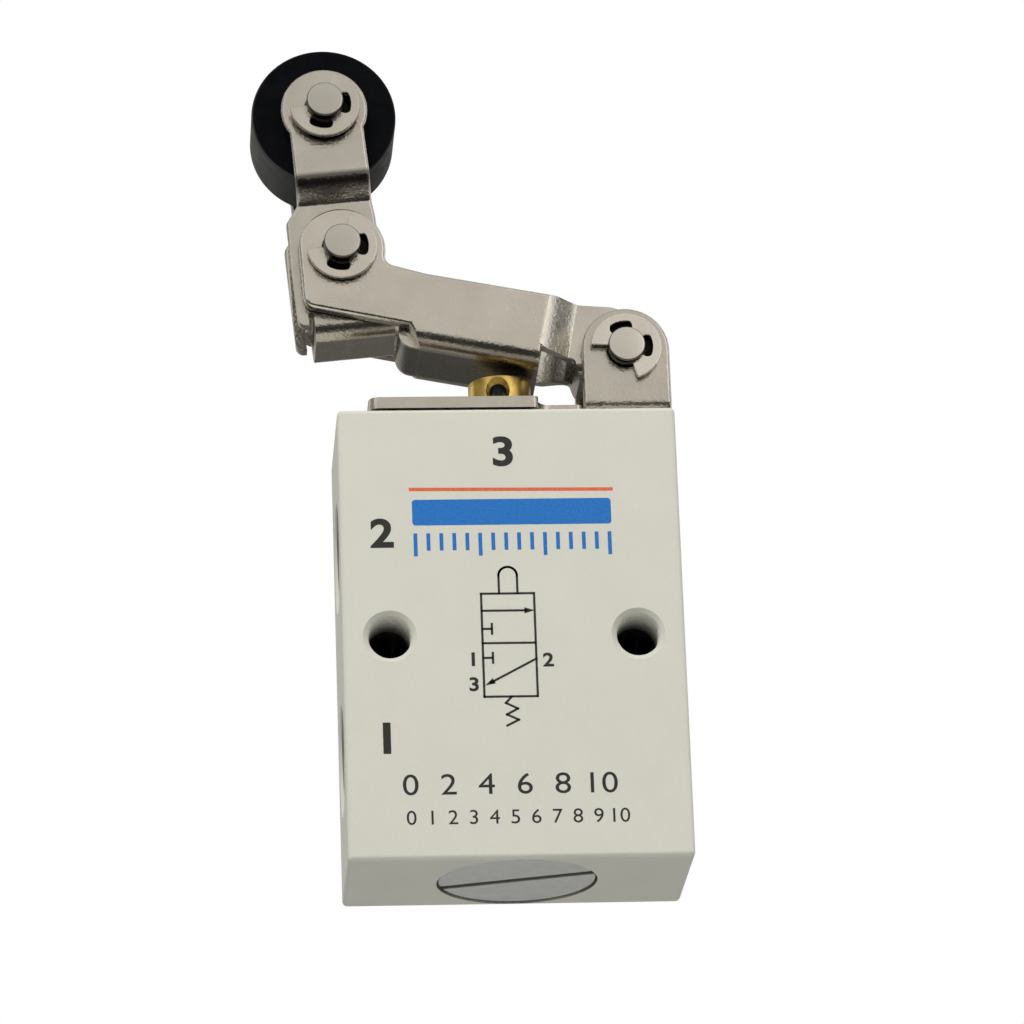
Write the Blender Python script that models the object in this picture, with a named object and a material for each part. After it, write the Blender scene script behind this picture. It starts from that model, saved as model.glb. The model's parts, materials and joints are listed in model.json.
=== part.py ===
"""Three-port, two-position mechanical air valve with a one-way roller lever.

Frame: the origin is on the back face, half way between the two mounting holes.
X runs to the right of someone facing the printed front, Y to the back, Z up.
All sizes are in metres.
"""

import math

import bmesh
import bpy
from mathutils import Matrix, Vector

# Clearances
SEAT_GAP = 0.00025          # between two faces that rest on each other
RUN_GAP = 0.00015           # radial, between a shaft and its hole
SLIDE_GAP = 0.0003          # each side, between two sheet walls that pass each other
CUT_PAST = 0.0010           # how far a cut runs past the face it opens
DRILL_POINT = math.radians(31.0)    # slope of the cone that a drill leaves

# Valve body
BODY_WIDTH = 0.0400
BODY_DEPTH = 0.0200
BODY_HEIGHT = 0.0552
BODY_EDGE_ROUND = 0.0006
MOUNT_HOLE_INSET = 0.0055   # from the side faces to the hole's centre
MOUNT_HOLE_HEIGHT = 0.0270  # above the bottom face
MOUNT_HOLE_RADIUS = 0.0026
MOUNT_HOLE_CHAMFER = 0.0007
PORT_BORE_RADIUS = 0.0057   # tapping bore of a quarter-inch pipe port
PORT_MOUTH_RADIUS = 0.0066
PORT_DEPTH = 0.0110
PORT_PASSAGE_RADIUS = 0.0024
SUPPLY_PORT_HEIGHT = 0.0150 # above the bottom face
OUTLET_PORT_DROP = 0.0152   # below the top face

# Stepped bore through the body
SUPPLY_BORE_RADIUS = 0.0070
SEAT_SHOULDER_HEIGHT = 0.0260   # above the bottom face
OUTLET_BORE_RADIUS = 0.0054
STEM_GUIDE_LENGTH = 0.0097  # from the chamber's ceiling to the top face
STEM_GROOVE_RISE = 0.0040   # from the chamber's ceiling to the groove
STEM_GROOVE_WIDTH = 0.0018
STEM_GROOVE_DEPTH = 0.0013

# Stem
STEM_RADIUS = 0.00375
STEM_CROWN_RADIUS = 0.0085
STEM_COLLAR_RADIUS = 0.0050
STEM_COLLAR_THICKNESS = 0.0016
STEM_TUBE_RADIUS = 0.0023
STEM_BORE_RADIUS = 0.0014
EXHAUST_HOLE_BELOW_CROWN = 0.0027
EXHAUST_HOLE_RADIUS = 0.00134
EXHAUST_HOLE_TURN = math.radians(7.0)   # towards the left, seen from above
EXHAUST_COUNTERSINK = 0.0005
NOSE_GAP = 0.0010           # from the stem's nose to the poppet seal at rest
STEM_NOSE_CHAMFER = 0.00035

# Seat ring and poppet
SEAT_RING_THICKNESS = 0.0028
SEAT_HOLE_RADIUS = 0.0034
SEAT_LIP_WIDTH = 0.0007
SEAT_LIP_HEIGHT = 0.0007
POPPET_SEAL_RADIUS = 0.0046
POPPET_SEAL_THICKNESS = 0.0016
POPPET_WALL = 0.0006
POPPET_BASE = 0.0013
POPPET_BOSS_RADIUS = 0.0024
POPPET_BOSS_LENGTH = 0.0022
POPPET_GUIDE_RADIUS = 0.0016
POPPET_GUIDE_LENGTH = 0.0060
SLEEVE_WALL = 0.0012
SLEEVE_WINDOW_RADIUS = 0.0026

# Bottom plug
PLUG_HEAD_RADIUS = 0.00925
PLUG_HEAD_THICKNESS = 0.0026
PLUG_HEAD_INSET = 0.0002    # below the body's bottom face
PLUG_EDGE_CHAMFER = 0.0003
PLUG_SHANK_LENGTH = 0.0052
PLUG_SLOT_WIDTH = 0.0014
PLUG_SLOT_DEPTH = 0.0014
PLUG_SLOT_ANGLE = math.radians(-18.0)
PLUG_POCKET_RADIUS = 0.0046
PLUG_POCKET_DEPTH = 0.0036

# Seals and springs
RING_WIRE_RADIUS = 0.0005
RING_GROOVE_WIDTH = 0.0014
STEM_SPRING_WIRE = 0.0009
STEM_SPRING_TURNS = 6.5
POPPET_SPRING_WIRE = 0.0008
POPPET_SPRING_TURNS = 5.5
ARM_SPRING_WIRE = 0.0009
ARM_SPRING_TURNS = 4.25
SPRING_END_TURN = 0.75      # of a turn that lies nearly flat at each end
SPRING_END_RISE = 0.08      # share of the height that the end turns take

# Bracket, one folded sheet
BRACKET_SHEET = 0.0014
BRACKET_LEFT_INSET = 0.0038 # from the body's left face
BRACKET_STEP = 0.0039       # where the wide plate narrows
BRACKET_INSET = 0.0003      # from the body's front and back faces
BRACKET_CORNER = 0.0013
BRACKET_STEP_FILLET = 0.0016
BRACKET_SCREW_INSET = 0.0085    # from the body's side faces
EAR_WIDTH = 0.0105
EAR_SPREAD = 0.0130         # over both outer faces
EAR_BEND_RADIUS = 0.0022
EAR_TOP_FLAT = 0.00014
SCREW_RADIUS = 0.0015
SCREW_HEAD_RADIUS = 0.0027
SCREW_LENGTH = 0.0080
SCREW_POINT = 0.00045
SCREW_RECESS_WIDTH = 0.0007
SCREW_RECESS_LENGTH = 0.0026
SCREW_RECESS_DEPTH = 0.0007

# Pins and their retaining clips
PIN_RADIUS = 0.0022
PIN_GROOVE_RADIUS = 0.0016
PIN_CHAMFER = 0.0002
PIN_HEAD_RADIUS = 0.0033
PIN_HEAD_THICKNESS = 0.0010
CLIP_RADIUS = 0.0042
CLIP_WINDOW_RADIUS = 0.0032
CLIP_THICKNESS = 0.0007
CLIP_MOUTH = math.radians(55.0)     # half the opening
CLIP_PRONG = math.radians(46.0)     # side prong's width
CLIP_NOSE = math.radians(20.0)      # half the middle prong
LEVER_PIN_END = 0.0018              # past the ear
LEVER_CLIP_STANDOFF = 0.0003
LEVER_CLIP_TURN = math.radians(232.0)
ARM_PIN_END = 0.0026                # past the lever's wall
ARM_CLIP_STANDOFF = 0.0004
ARM_CLIP_TURN = math.radians(131.0)
AXLE_END = 0.0030                   # past the arm's plate
AXLE_CLIP_STANDOFF = 0.0009
AXLE_CLIP_TURN = math.radians(135.0)

# Main lever, a channel of sheet that opens upward. Along and up are measured
# from its pin, in axes that lean with the channel.
EAR_OVERHANG = 0.0001       # past the body's right face
LEVER_PIN_ABOVE_BODY = 0.00875
LEVER_SLOPE = math.radians(10.8)
LEVER_SHEET = 0.0015
LEVER_WIDTH = 0.0136
LEVER_NECK_WIDTH = 0.0092
LEVER_BEND_RADIUS = 0.0019
LEVER_WEB_DROP = 0.0037
LEVER_WALL_TOP = 0.0053
LEVER_HUMP_ALONG = 0.0023   # the walls rise a little beside the pin
LEVER_HUMP_TOP = 0.00575
LEVER_HUMP_END = 0.0062
LEVER_HUMP_FILLET = 0.0030
LEVER_THROAT_TOP = 0.0057   # where the walls turn up towards the arm's pin
LEVER_THROAT_FILLET = 0.0012
LEVER_WALL_FOOT = 0.0016
LEVER_NECK_FOOT = 0.0056
LEVER_NECK_END = 0.0058
LEVER_NECK_SLANT = 0.0019
LEVER_NECK_FILLET = 0.0006
JOGGLE_START = 0.0065
JOGGLE_END = 0.0105
WEB_START = 0.0099
WEB_END = 0.0250
LIP_FACE = 0.0272
LIP_TOP = 0.0020
LIP_BEND_RADIUS = 0.0021
LIP_SIDE_GAP = 0.0006
LIP_THINNING = 0.00004      # the sheet is stretched where it is folded
ARM_PIN_ALONG = 0.0355
ARM_PIN_UP = 0.00655
LEVER_END_RADIUS = 0.00527
LEVER_HEEL_ALONG = 0.0387
LEVER_HEEL_DROP = 0.0014
LEVER_HEEL_FILLET = 0.0016

# Roller arm, a strip bent to a fork. Right and up are measured from its pin,
# in axes that lean with the arm.
ARM_LEAN = math.radians(5.3)
ARM_LENGTH = 0.01825
ARM_SHEET = 0.0015
ARM_FOOT_DROP = 0.0104
ARM_BEND_RADIUS = 0.0020
ARM_JOGGLE_START = 0.0065
ARM_JOGGLE_END = 0.0099
ARM_NECK_HALF = 0.0045
ARM_HEAD_RADIUS = 0.00525
ARM_LEFT = 0.0061
ARM_RIGHT = 0.0047
ARM_SHOULDER = 0.0047
ARM_SHOULDER_RISE = 0.0022
ARM_FILLET = 0.0008
ARM_WEB_LEFT = 0.00415
ARM_RELIEF_TOP = 0.0072     # slits beside the folded foot, below the pin
ARM_RELIEF_WIDTH = 0.0007
ARM_LOBE_FOOT = 0.0087
ARM_LOBE_FILLET = 0.0010
ARM_RIGHT_FOOT = 0.0058

# Roller
ROLLER_RADIUS = 0.00875
ROLLER_WIDTH = 0.0094
ROLLER_EDGE = 0.0004
BUSH_WALL = 0.0009
WASHER_RADIUS = 0.0034
WASHER_THICKNESS = 0.0003

# Facets
FINE = 36
ROUND = 28
SMALL = 20
TINY = 6
COIL = 10                   # per turn of a spring

# Worked out from the sizes above
MIDDLE_Y = -BODY_DEPTH / 2
MOUNT_HOLE_X = BODY_WIDTH / 2 - MOUNT_HOLE_INSET
BRACKET_SCREW_X = BODY_WIDTH / 2 - BRACKET_SCREW_INSET
BRACKET_LEFT = -BODY_WIDTH / 2 + BRACKET_LEFT_INSET
LEVER_PIN_X = BODY_WIDTH / 2 + EAR_OVERHANG - EAR_WIDTH / 2
BODY_BOTTOM = -MOUNT_HOLE_HEIGHT
BODY_TOP = BODY_BOTTOM + BODY_HEIGHT
CHAMBER_TOP = BODY_TOP - STEM_GUIDE_LENGTH
STEM_GROOVE_FOOT = CHAMBER_TOP + STEM_GROOVE_RISE
BRACKET_BASE = BODY_TOP + SEAT_GAP
BRACKET_TOP = BRACKET_BASE + BRACKET_SHEET
LEVER_PIN_Z = BODY_TOP + LEVER_PIN_ABOVE_BODY
LEVER_PIN = Vector((LEVER_PIN_X, MIDDLE_Y, LEVER_PIN_Z))
LEVER_ALONG = Vector((-math.cos(LEVER_SLOPE), 0.0, math.sin(LEVER_SLOPE)))
LEVER_UP = Vector((math.sin(LEVER_SLOPE), 0.0, math.cos(LEVER_SLOPE)))
ARM_PIN = LEVER_PIN + ARM_PIN_ALONG * LEVER_ALONG + ARM_PIN_UP * LEVER_UP
ARM_RIGHTWARD = Vector((math.cos(ARM_LEAN), 0.0, math.sin(ARM_LEAN)))
ARM_UPWARD = Vector((-math.sin(ARM_LEAN), 0.0, math.cos(ARM_LEAN)))
ROLLER_AXLE = ARM_PIN + ARM_LENGTH * ARM_UPWARD
LEVER_INSIDE = LEVER_WIDTH / 2 - LEVER_SHEET
ARM_FOOT_HALF = LEVER_INSIDE - SLIDE_GAP
ARM_INSIDE = ARM_FOOT_HALF - ARM_SHEET
FORK_INSIDE = ROLLER_WIDTH / 2 + WASHER_THICKNESS + 2 * SEAT_GAP
FORK_OUTSIDE = FORK_INSIDE + ARM_SHEET
GUIDE_RADIUS = STEM_RADIUS + RUN_GAP
SHANK_RADIUS = SUPPLY_BORE_RADIUS - RUN_GAP
RING_GROOVE_RADIUS = SUPPLY_BORE_RADIUS - RUN_GAP - 2 * RING_WIRE_RADIUS - RUN_GAP
SEAT_RING_TOP = BODY_BOTTOM + SEAT_SHOULDER_HEIGHT - SEAT_GAP
SEAT_RING_FOOT = SEAT_RING_TOP - SEAT_RING_THICKNESS
SEAT_LIP_FOOT = SEAT_RING_FOOT - SEAT_LIP_HEIGHT
SEAL_TOP = SEAT_LIP_FOOT - SEAT_GAP
SEAL_FOOT = SEAL_TOP - POPPET_SEAL_THICKNESS
POPPET_TOP = SEAL_FOOT - SEAT_GAP
POPPET_FOOT = POPPET_TOP - POPPET_BASE
STEM_NOSE = SEAL_TOP + NOSE_GAP
DOME_REACH = LEVER_WEB_DROP + SEAT_GAP + STEM_CROWN_RADIUS
DOME_CENTRE = LEVER_PIN_Z + (LEVER_PIN_X * math.sin(LEVER_SLOPE) - DOME_REACH) / math.cos(LEVER_SLOPE)
STEM_CROWN = DOME_CENTRE + STEM_CROWN_RADIUS
COLLAR_TOP = CHAMBER_TOP - SEAT_GAP
COLLAR_FOOT = COLLAR_TOP - STEM_COLLAR_THICKNESS
PLUG_FOOT = BODY_BOTTOM + PLUG_HEAD_INSET
PLUG_HEAD_TOP = PLUG_FOOT + PLUG_HEAD_THICKNESS
PLUG_TOP = PLUG_HEAD_TOP + PLUG_SHANK_LENGTH
POCKET_FLOOR = PLUG_TOP - PLUG_POCKET_DEPTH
SLEEVE_INSIDE = SHANK_RADIUS - SLEEVE_WALL


# Frames: each turns three lengths into a point

def body_point(right, across, up):
    """Upright axes, across measured backwards from the middle of the body."""
    return Vector((right, MIDDLE_Y + across, up))


def lever_point(along, across, up):
    """Axes of the main lever, from its pin."""
    return LEVER_PIN + along * LEVER_ALONG + up * LEVER_UP + Vector((0.0, across, 0.0))


def arm_point(right, across, up):
    """Axes of the roller arm, from its pin."""
    return ARM_PIN + right * ARM_RIGHTWARD + up * ARM_UPWARD + Vector((0.0, across, 0.0))


def across_frame(centre):
    """A frame for round pieces whose axis runs front to back through centre."""
    def point(right, up, across):
        return Vector((centre.x + right, centre.y + across, centre.z + up))
    return point


def upright_frame(x):
    """A frame for round pieces that stand on the line at x in the middle of the body."""
    def point(right, back, up):
        return Vector((x + right, MIDDLE_Y + back, up))
    return point


def port_frame(height):
    """A frame for a round port that runs to the right from the left face."""
    def point(back, up, inward):
        z = BODY_BOTTOM + height
        return Vector((-BODY_WIDTH / 2 + inward, MIDDLE_Y + back, z + up))
    return point


# Outlines

def arc(centre, radius, start, end, steps):
    """Points on an arc, both ends included; angles in radians."""
    turns = [start + (end - start) * i / steps for i in range(steps + 1)]
    return [(centre[0] + radius * math.cos(a), centre[1] + radius * math.sin(a)) for a in turns]


def rounded(corners, steps=4):
    """A closed outline from (x, y, fillet radius) corners."""
    points = []
    count = len(corners)
    for i, (x, y, radius) in enumerate(corners):
        here = Vector((x, y))
        if radius <= 0.0:
            points.append((x, y))
            continue
        before = (Vector(corners[i - 1][:2]) - here).normalized()
        after = (Vector(corners[(i + 1) % count][:2]) - here).normalized()
        half = before.angle(after) / 2
        centre = here + (before + after).normalized() * (radius / math.sin(half))
        first = here + before * (radius / math.tan(half)) - centre
        last = here + after * (radius / math.tan(half)) - centre
        turn = first.angle_signed(last)
        for k in range(steps + 1):
            spoke = Matrix.Rotation(-turn * k / steps, 2) @ first
            points.append(tuple(centre + spoke))
    return points


def ribbon(path, thickness):
    """The closed outline of a sheet whose middle line is path."""
    sides = ([], [])
    for i, here in enumerate(path):
        before = Vector(path[max(i - 1, 0)])
        after = Vector(path[min(i + 1, len(path) - 1)])
        run = (after - before).normalized()
        normal = Vector((-run.y, run.x)) * thickness / 2
        sides[0].append(tuple(Vector(here) + normal))
        sides[1].append(tuple(Vector(here) - normal))
    return sides[0] + sides[1][::-1]


def ease(share):
    """A smooth step from 0 to 1."""
    share = min(max(share, 0.0), 1.0)
    return share * share * (3 - 2 * share)


# Making objects

def material(name, colour, metallic, roughness):
    """A Principled material."""
    made = bpy.data.materials.new(name)
    made.use_nodes = True
    shader = made.node_tree.nodes["Principled BSDF"]
    shader.inputs["Base Color"].default_value = (*colour, 1.0)
    shader.inputs["Metallic"].default_value = metallic
    shader.inputs["Roughness"].default_value = roughness
    made.diffuse_color = (*colour, 1.0)
    return made


def finish(bm, name, finish_material, smooth_below=math.radians(32.0)):
    """Turn a bmesh into a shaded object."""
    bmesh.ops.remove_doubles(bm, verts=bm.verts, dist=1e-7)
    bmesh.ops.recalc_face_normals(bm, faces=bm.faces)
    mesh = bpy.data.meshes.new(name)
    bm.to_mesh(mesh)
    bm.free()
    mesh.shade_smooth()
    mesh.set_sharp_from_angle(angle=smooth_below)
    made = bpy.data.objects.new(name, mesh)
    bpy.context.collection.objects.link(made)
    if finish_material:
        mesh.materials.append(finish_material)
    return made


def extruded(name, outline, frame, start, end, finish_material=None, order="aba"):
    """Extrude a flat outline. order "aba" puts the depth second, "aab" third, "baa" first."""
    bm = bmesh.new()

    def place(a, b, depth):
        slots = {"aba": (a, depth, b), "aab": (a, b, depth), "baa": (depth, a, b)}[order]
        return frame(*slots)

    face = bm.faces.new([bm.verts.new(place(a, b, start)) for a, b in outline])
    lifted = bmesh.ops.extrude_face_region(bm, geom=[face])
    top = [v for v in lifted["geom"] if isinstance(v, bmesh.types.BMVert)]
    shift = place(0.0, 0.0, end) - place(0.0, 0.0, start)
    bmesh.ops.translate(bm, verts=top, vec=shift)
    return finish(bm, name, finish_material)


def turned(name, profile, frame, finish_material=None, steps=ROUND, ring=False):
    """Turn a profile of (radius, height) points about the frame's third axis."""
    bm = bmesh.new()
    spots = [bm.verts.new((radius, 0.0, height)) for radius, height in profile]
    pairs = list(zip(spots, spots[1:]))
    if ring:
        pairs.append((spots[-1], spots[0]))
    edges = [bm.edges.new(pair) for pair in pairs]
    bmesh.ops.spin(
        bm, geom=spots + edges, cent=(0, 0, 0), axis=(0, 0, 1),
        angle=2 * math.pi, steps=steps, use_merge=True,
    )
    bmesh.ops.remove_doubles(bm, verts=bm.verts, dist=1e-7)
    for vert in bm.verts:
        vert.co = frame(*vert.co)
    return finish(bm, name, finish_material)


def wire(name, points, radius, finish_material, sides=1):
    """A round wire through points, as a bevelled curve with closed ends."""
    curve = bpy.data.curves.new(name, "CURVE")
    curve.dimensions = "3D"
    curve.bevel_depth = radius
    curve.bevel_resolution = sides
    curve.use_fill_caps = True
    spline = curve.splines.new("POLY")
    spline.points.add(len(points) - 1)
    for spot, point in zip(spline.points, points):
        spot.co = (*point, 1.0)
    curve.materials.append(finish_material)
    made = bpy.data.objects.new(name, curve)
    bpy.context.collection.objects.link(made)
    return made


def combine(target, tool, operation="DIFFERENCE"):
    """Cut, join or intersect target with tool, which stays in the file as a guide."""
    step = target.modifiers.new(tool.name, "BOOLEAN")
    step.operation = operation
    step.solver = "EXACT"
    step.object = tool
    tool.hide_render = True
    tool.display_type = "WIRE"
    tool.parent = target
    return target


def cylinder_cutter(name, radius, frame, low, high, steps=SMALL):
    """A plain round cutter."""
    return turned(name, [(0, low), (radius, low), (radius, high), (0, high)], frame, steps=steps)


def torus_profile(ring_radius, wire_radius, height, steps=TINY):
    """The cross-section of an O-ring."""
    return arc((ring_radius, height), wire_radius, 0.0, 2 * math.pi, steps)[:-1]


# Valve body

def make_body(paint):
    """Block with its stepped bore, two ports on the left, mounting and screw holes."""
    half = BODY_WIDTH / 2
    deep = BODY_DEPTH / 2
    outline = [(-half, -deep), (half, -deep), (half, deep), (-half, deep)]
    block = extruded("valve_body", outline, body_point, BODY_BOTTOM, BODY_TOP, paint, order="aab")
    bevel = block.modifiers.new("edge_round", "BEVEL")
    bevel.width = BODY_EDGE_ROUND
    bevel.segments = 2
    bevel.limit_method = "ANGLE"

    upright = upright_frame(0.0)
    head_bore = PLUG_HEAD_RADIUS + RUN_GAP
    head_ceiling = PLUG_HEAD_TOP + SEAT_GAP
    shoulder = BODY_BOTTOM + SEAT_SHOULDER_HEIGHT
    groove_high = STEM_GROOVE_FOOT + STEM_GROOVE_WIDTH
    groove_radius = GUIDE_RADIUS + STEM_GROOVE_DEPTH
    bore = [
        (0, BODY_BOTTOM - CUT_PAST), (head_bore, BODY_BOTTOM - CUT_PAST),
        (head_bore, head_ceiling), (SUPPLY_BORE_RADIUS, head_ceiling),
        (SUPPLY_BORE_RADIUS, shoulder), (OUTLET_BORE_RADIUS, shoulder),
        (OUTLET_BORE_RADIUS, CHAMBER_TOP), (GUIDE_RADIUS, CHAMBER_TOP),
        (GUIDE_RADIUS, STEM_GROOVE_FOOT), (groove_radius, STEM_GROOVE_FOOT),
        (groove_radius, groove_high), (GUIDE_RADIUS, groove_high),
        (GUIDE_RADIUS, BODY_TOP + CUT_PAST), (0, BODY_TOP + CUT_PAST),
    ]
    combine(block, turned("cut_stepped_bore", bore, upright, steps=FINE))

    mouth = PORT_MOUTH_RADIUS - PORT_BORE_RADIUS
    cone = (PORT_BORE_RADIUS - PORT_PASSAGE_RADIUS) * math.tan(DRILL_POINT)
    reach = BODY_WIDTH / 2 - OUTLET_BORE_RADIUS / 2
    port = [
        (0, -CUT_PAST), (PORT_MOUTH_RADIUS + CUT_PAST, -CUT_PAST), (PORT_BORE_RADIUS, mouth),
        (PORT_BORE_RADIUS, PORT_DEPTH), (PORT_PASSAGE_RADIUS, PORT_DEPTH + cone),
        (PORT_PASSAGE_RADIUS, reach), (0, reach),
    ]
    for name, height in (("supply", SUPPLY_PORT_HEIGHT), ("outlet", BODY_HEIGHT - OUTLET_PORT_DROP)):
        combine(block, turned(f"cut_{name}_port", port, port_frame(height), steps=FINE))

    outside = deep + CUT_PAST
    flare = MOUNT_HOLE_RADIUS + MOUNT_HOLE_CHAMFER + CUT_PAST
    hole = [
        (0, -outside), (flare, -outside), (MOUNT_HOLE_RADIUS, -deep + MOUNT_HOLE_CHAMFER),
        (MOUNT_HOLE_RADIUS, deep - MOUNT_HOLE_CHAMFER), (flare, outside), (0, outside),
    ]
    for name, side in (("left", -1), ("right", 1)):
        centre = Vector((side * MOUNT_HOLE_X, MIDDLE_Y, 0.0))
        combine(block, turned(f"cut_mount_hole_{name}", hole, across_frame(centre), steps=ROUND))
        x = side * BRACKET_SCREW_X
        depth = BODY_TOP - SCREW_LENGTH - SEAT_GAP
        cutter = cylinder_cutter(
            f"cut_screw_hole_{name}", SCREW_RADIUS + RUN_GAP, upright_frame(x), depth, BODY_TOP + CUT_PAST,
        )
        combine(block, cutter)
    return block


# Bracket

def bracket_outline():
    """The flat blank under the ears, as (x, across) points."""
    wide = BODY_DEPTH / 2 - BRACKET_INSET
    narrow = EAR_SPREAD / 2
    ear_left = LEVER_PIN_X - EAR_WIDTH / 2
    ear_right = LEVER_PIN_X + EAR_WIDTH / 2
    fold = EAR_SPREAD / 2 - EAR_BEND_RADIUS
    corners = [
        (BRACKET_LEFT, wide, BRACKET_CORNER), (BRACKET_STEP, wide, BRACKET_CORNER / 2),
        (BRACKET_STEP, narrow, BRACKET_STEP_FILLET), (ear_left - SEAT_GAP, narrow, BRACKET_CORNER / 2),
        (ear_left - SEAT_GAP, fold, 0.0), (ear_left, fold, 0.0), (ear_right, fold, 0.0),
    ]
    mirrored = [(x, -across, radius) for x, across, radius in reversed(corners)]
    return rounded(corners + mirrored)


def fold_up(bm, side):
    """Spin the blank's edge into a bend and pull it up into an ear with a round top."""
    fold = side * (EAR_SPREAD / 2 - EAR_BEND_RADIUS)
    ear_left = LEVER_PIN_X - EAR_WIDTH / 2
    edge_y = MIDDLE_Y + fold

    def is_fold(face):
        middle = face.calc_center_median()
        return abs(middle.y - edge_y) < 1e-6 and middle.x > ear_left and abs(face.normal.y) > 0.9

    bm.normal_update()
    face = next(f for f in bm.faces if is_fold(f))
    pivot = Vector((0.0, edge_y, BRACKET_BASE + EAR_BEND_RADIUS))
    steps = 5
    turn = Matrix.Rotation(side * math.pi / 2 / steps, 3, "X")
    for _ in range(steps):
        face = pull(bm, face, lambda verts: bmesh.ops.rotate(bm, verts=verts, cent=pivot, matrix=turn))
    top = LEVER_PIN_Z + EAR_WIDTH / 2
    rise = Vector((0.0, 0.0, top - pivot.z))
    face = pull(bm, face, lambda verts: bmesh.ops.translate(bm, verts=verts, vec=rise))
    corners = [e for e in face.edges if abs(e.verts[0].co.x - e.verts[1].co.x) < 1e-6]
    bmesh.ops.bevel(
        bm, geom=corners, offset=(EAR_WIDTH - EAR_TOP_FLAT) / 2, offset_type="OFFSET",
        segments=10, profile=0.5, affect="EDGES",
    )


def pull(bm, face, move):
    """Extrude one face of a closed body, move it and return the new face."""
    made = bmesh.ops.extrude_face_region(bm, geom=[face])["geom"]
    bmesh.ops.delete(bm, geom=[face], context="FACES_ONLY")
    move([v for v in made if isinstance(v, bmesh.types.BMVert)])
    return next(f for f in made if isinstance(f, bmesh.types.BMFace))


def make_bracket(nickel):
    """Base plate with two ears that carry the lever's pin."""
    bm = bmesh.new()
    blank = bm.faces.new([bm.verts.new(body_point(x, y, BRACKET_BASE)) for x, y in bracket_outline()])
    lifted = bmesh.ops.extrude_face_region(bm, geom=[blank])["geom"]
    top = [v for v in lifted if isinstance(v, bmesh.types.BMVert)]
    bmesh.ops.translate(bm, verts=top, vec=(0.0, 0.0, BRACKET_SHEET))
    bmesh.ops.recalc_face_normals(bm, faces=bm.faces)
    fold_up(bm, -1)
    fold_up(bm, 1)
    bracket = finish(bm, "mounting_bracket", nickel)
    low = BRACKET_BASE - CUT_PAST
    high = BRACKET_TOP + CUT_PAST
    stem_hole = cylinder_cutter(
        "cut_bracket_stem_hole", STEM_RADIUS + 2 * RUN_GAP, upright_frame(0.0), low, high, ROUND,
    )
    combine(bracket, stem_hole)
    pin_hole = cylinder_cutter(
        "cut_bracket_pin_hole", PIN_RADIUS + RUN_GAP, across_frame(LEVER_PIN), -EAR_SPREAD, EAR_SPREAD,
    )
    combine(bracket, pin_hole)
    shank = SCREW_RADIUS + 2 * RUN_GAP
    head = SCREW_HEAD_RADIUS + 2 * RUN_GAP
    sunk = BRACKET_TOP - (head - shank)
    countersink = [
        (0, low), (shank, low), (shank, sunk), (head + CUT_PAST, high), (0, high),
    ]
    for name, side in (("left", -1), ("right", 1)):
        frame = upright_frame(side * BRACKET_SCREW_X)
        combine(bracket, turned(f"cut_countersink_{name}", countersink, frame, steps=SMALL))
    return bracket


def make_bracket_screws(steel):
    """Two countersunk screws that hold the bracket on the body."""
    cone = SCREW_HEAD_RADIUS - SCREW_RADIUS
    top = BRACKET_TOP - RUN_GAP
    tip = BODY_TOP - SCREW_LENGTH
    profile = [
        (0, tip), (SCREW_RADIUS - SCREW_POINT, tip), (SCREW_RADIUS, tip + SCREW_POINT),
        (SCREW_RADIUS, top - cone), (SCREW_HEAD_RADIUS, top), (0, top),
    ]
    wide = SCREW_RECESS_WIDTH / 2
    long = SCREW_RECESS_LENGTH / 2
    cross = [
        (wide, wide), (long, wide), (long, -wide), (wide, -wide), (wide, -long), (-wide, -long),
        (-wide, -wide), (-long, -wide), (-long, wide), (-wide, wide), (-wide, long), (wide, long),
    ]
    screws = []
    for name, side in (("left", -1), ("right", 1)):
        frame = upright_frame(side * BRACKET_SCREW_X)
        screw = turned(f"bracket_screw_{name}", profile, frame, steel, steps=SMALL)
        low = top - SCREW_RECESS_DEPTH
        high = top + SCREW_RECESS_DEPTH
        recess = extruded(f"cut_recess_{name}", cross, frame, low, high, order="aab")
        screws.append(combine(screw, recess))
    return screws


# Pins and clips

def make_pin(name, centre, half_width, end, standoff, steel):
    """Pin along Y: groove and plain end at the front, flat head at the back."""
    front = -(half_width + end)
    clip_front = -(half_width + standoff + CLIP_THICKNESS)
    groove_front = clip_front - RUN_GAP
    groove_back = clip_front + CLIP_THICKNESS + RUN_GAP
    seat = half_width + SEAT_GAP
    back = seat + PIN_HEAD_THICKNESS
    profile = [
        (0, front), (PIN_RADIUS - PIN_CHAMFER, front), (PIN_RADIUS, front + PIN_CHAMFER),
        (PIN_RADIUS, groove_front), (PIN_GROOVE_RADIUS, groove_front),
        (PIN_GROOVE_RADIUS, groove_back), (PIN_RADIUS, groove_back),
        (PIN_RADIUS, seat), (PIN_HEAD_RADIUS, seat),
        (PIN_HEAD_RADIUS, back - PIN_CHAMFER), (PIN_HEAD_RADIUS - PIN_CHAMFER, back), (0, back),
    ]
    return turned(name, profile, across_frame(centre), steel, steps=SMALL)


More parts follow.
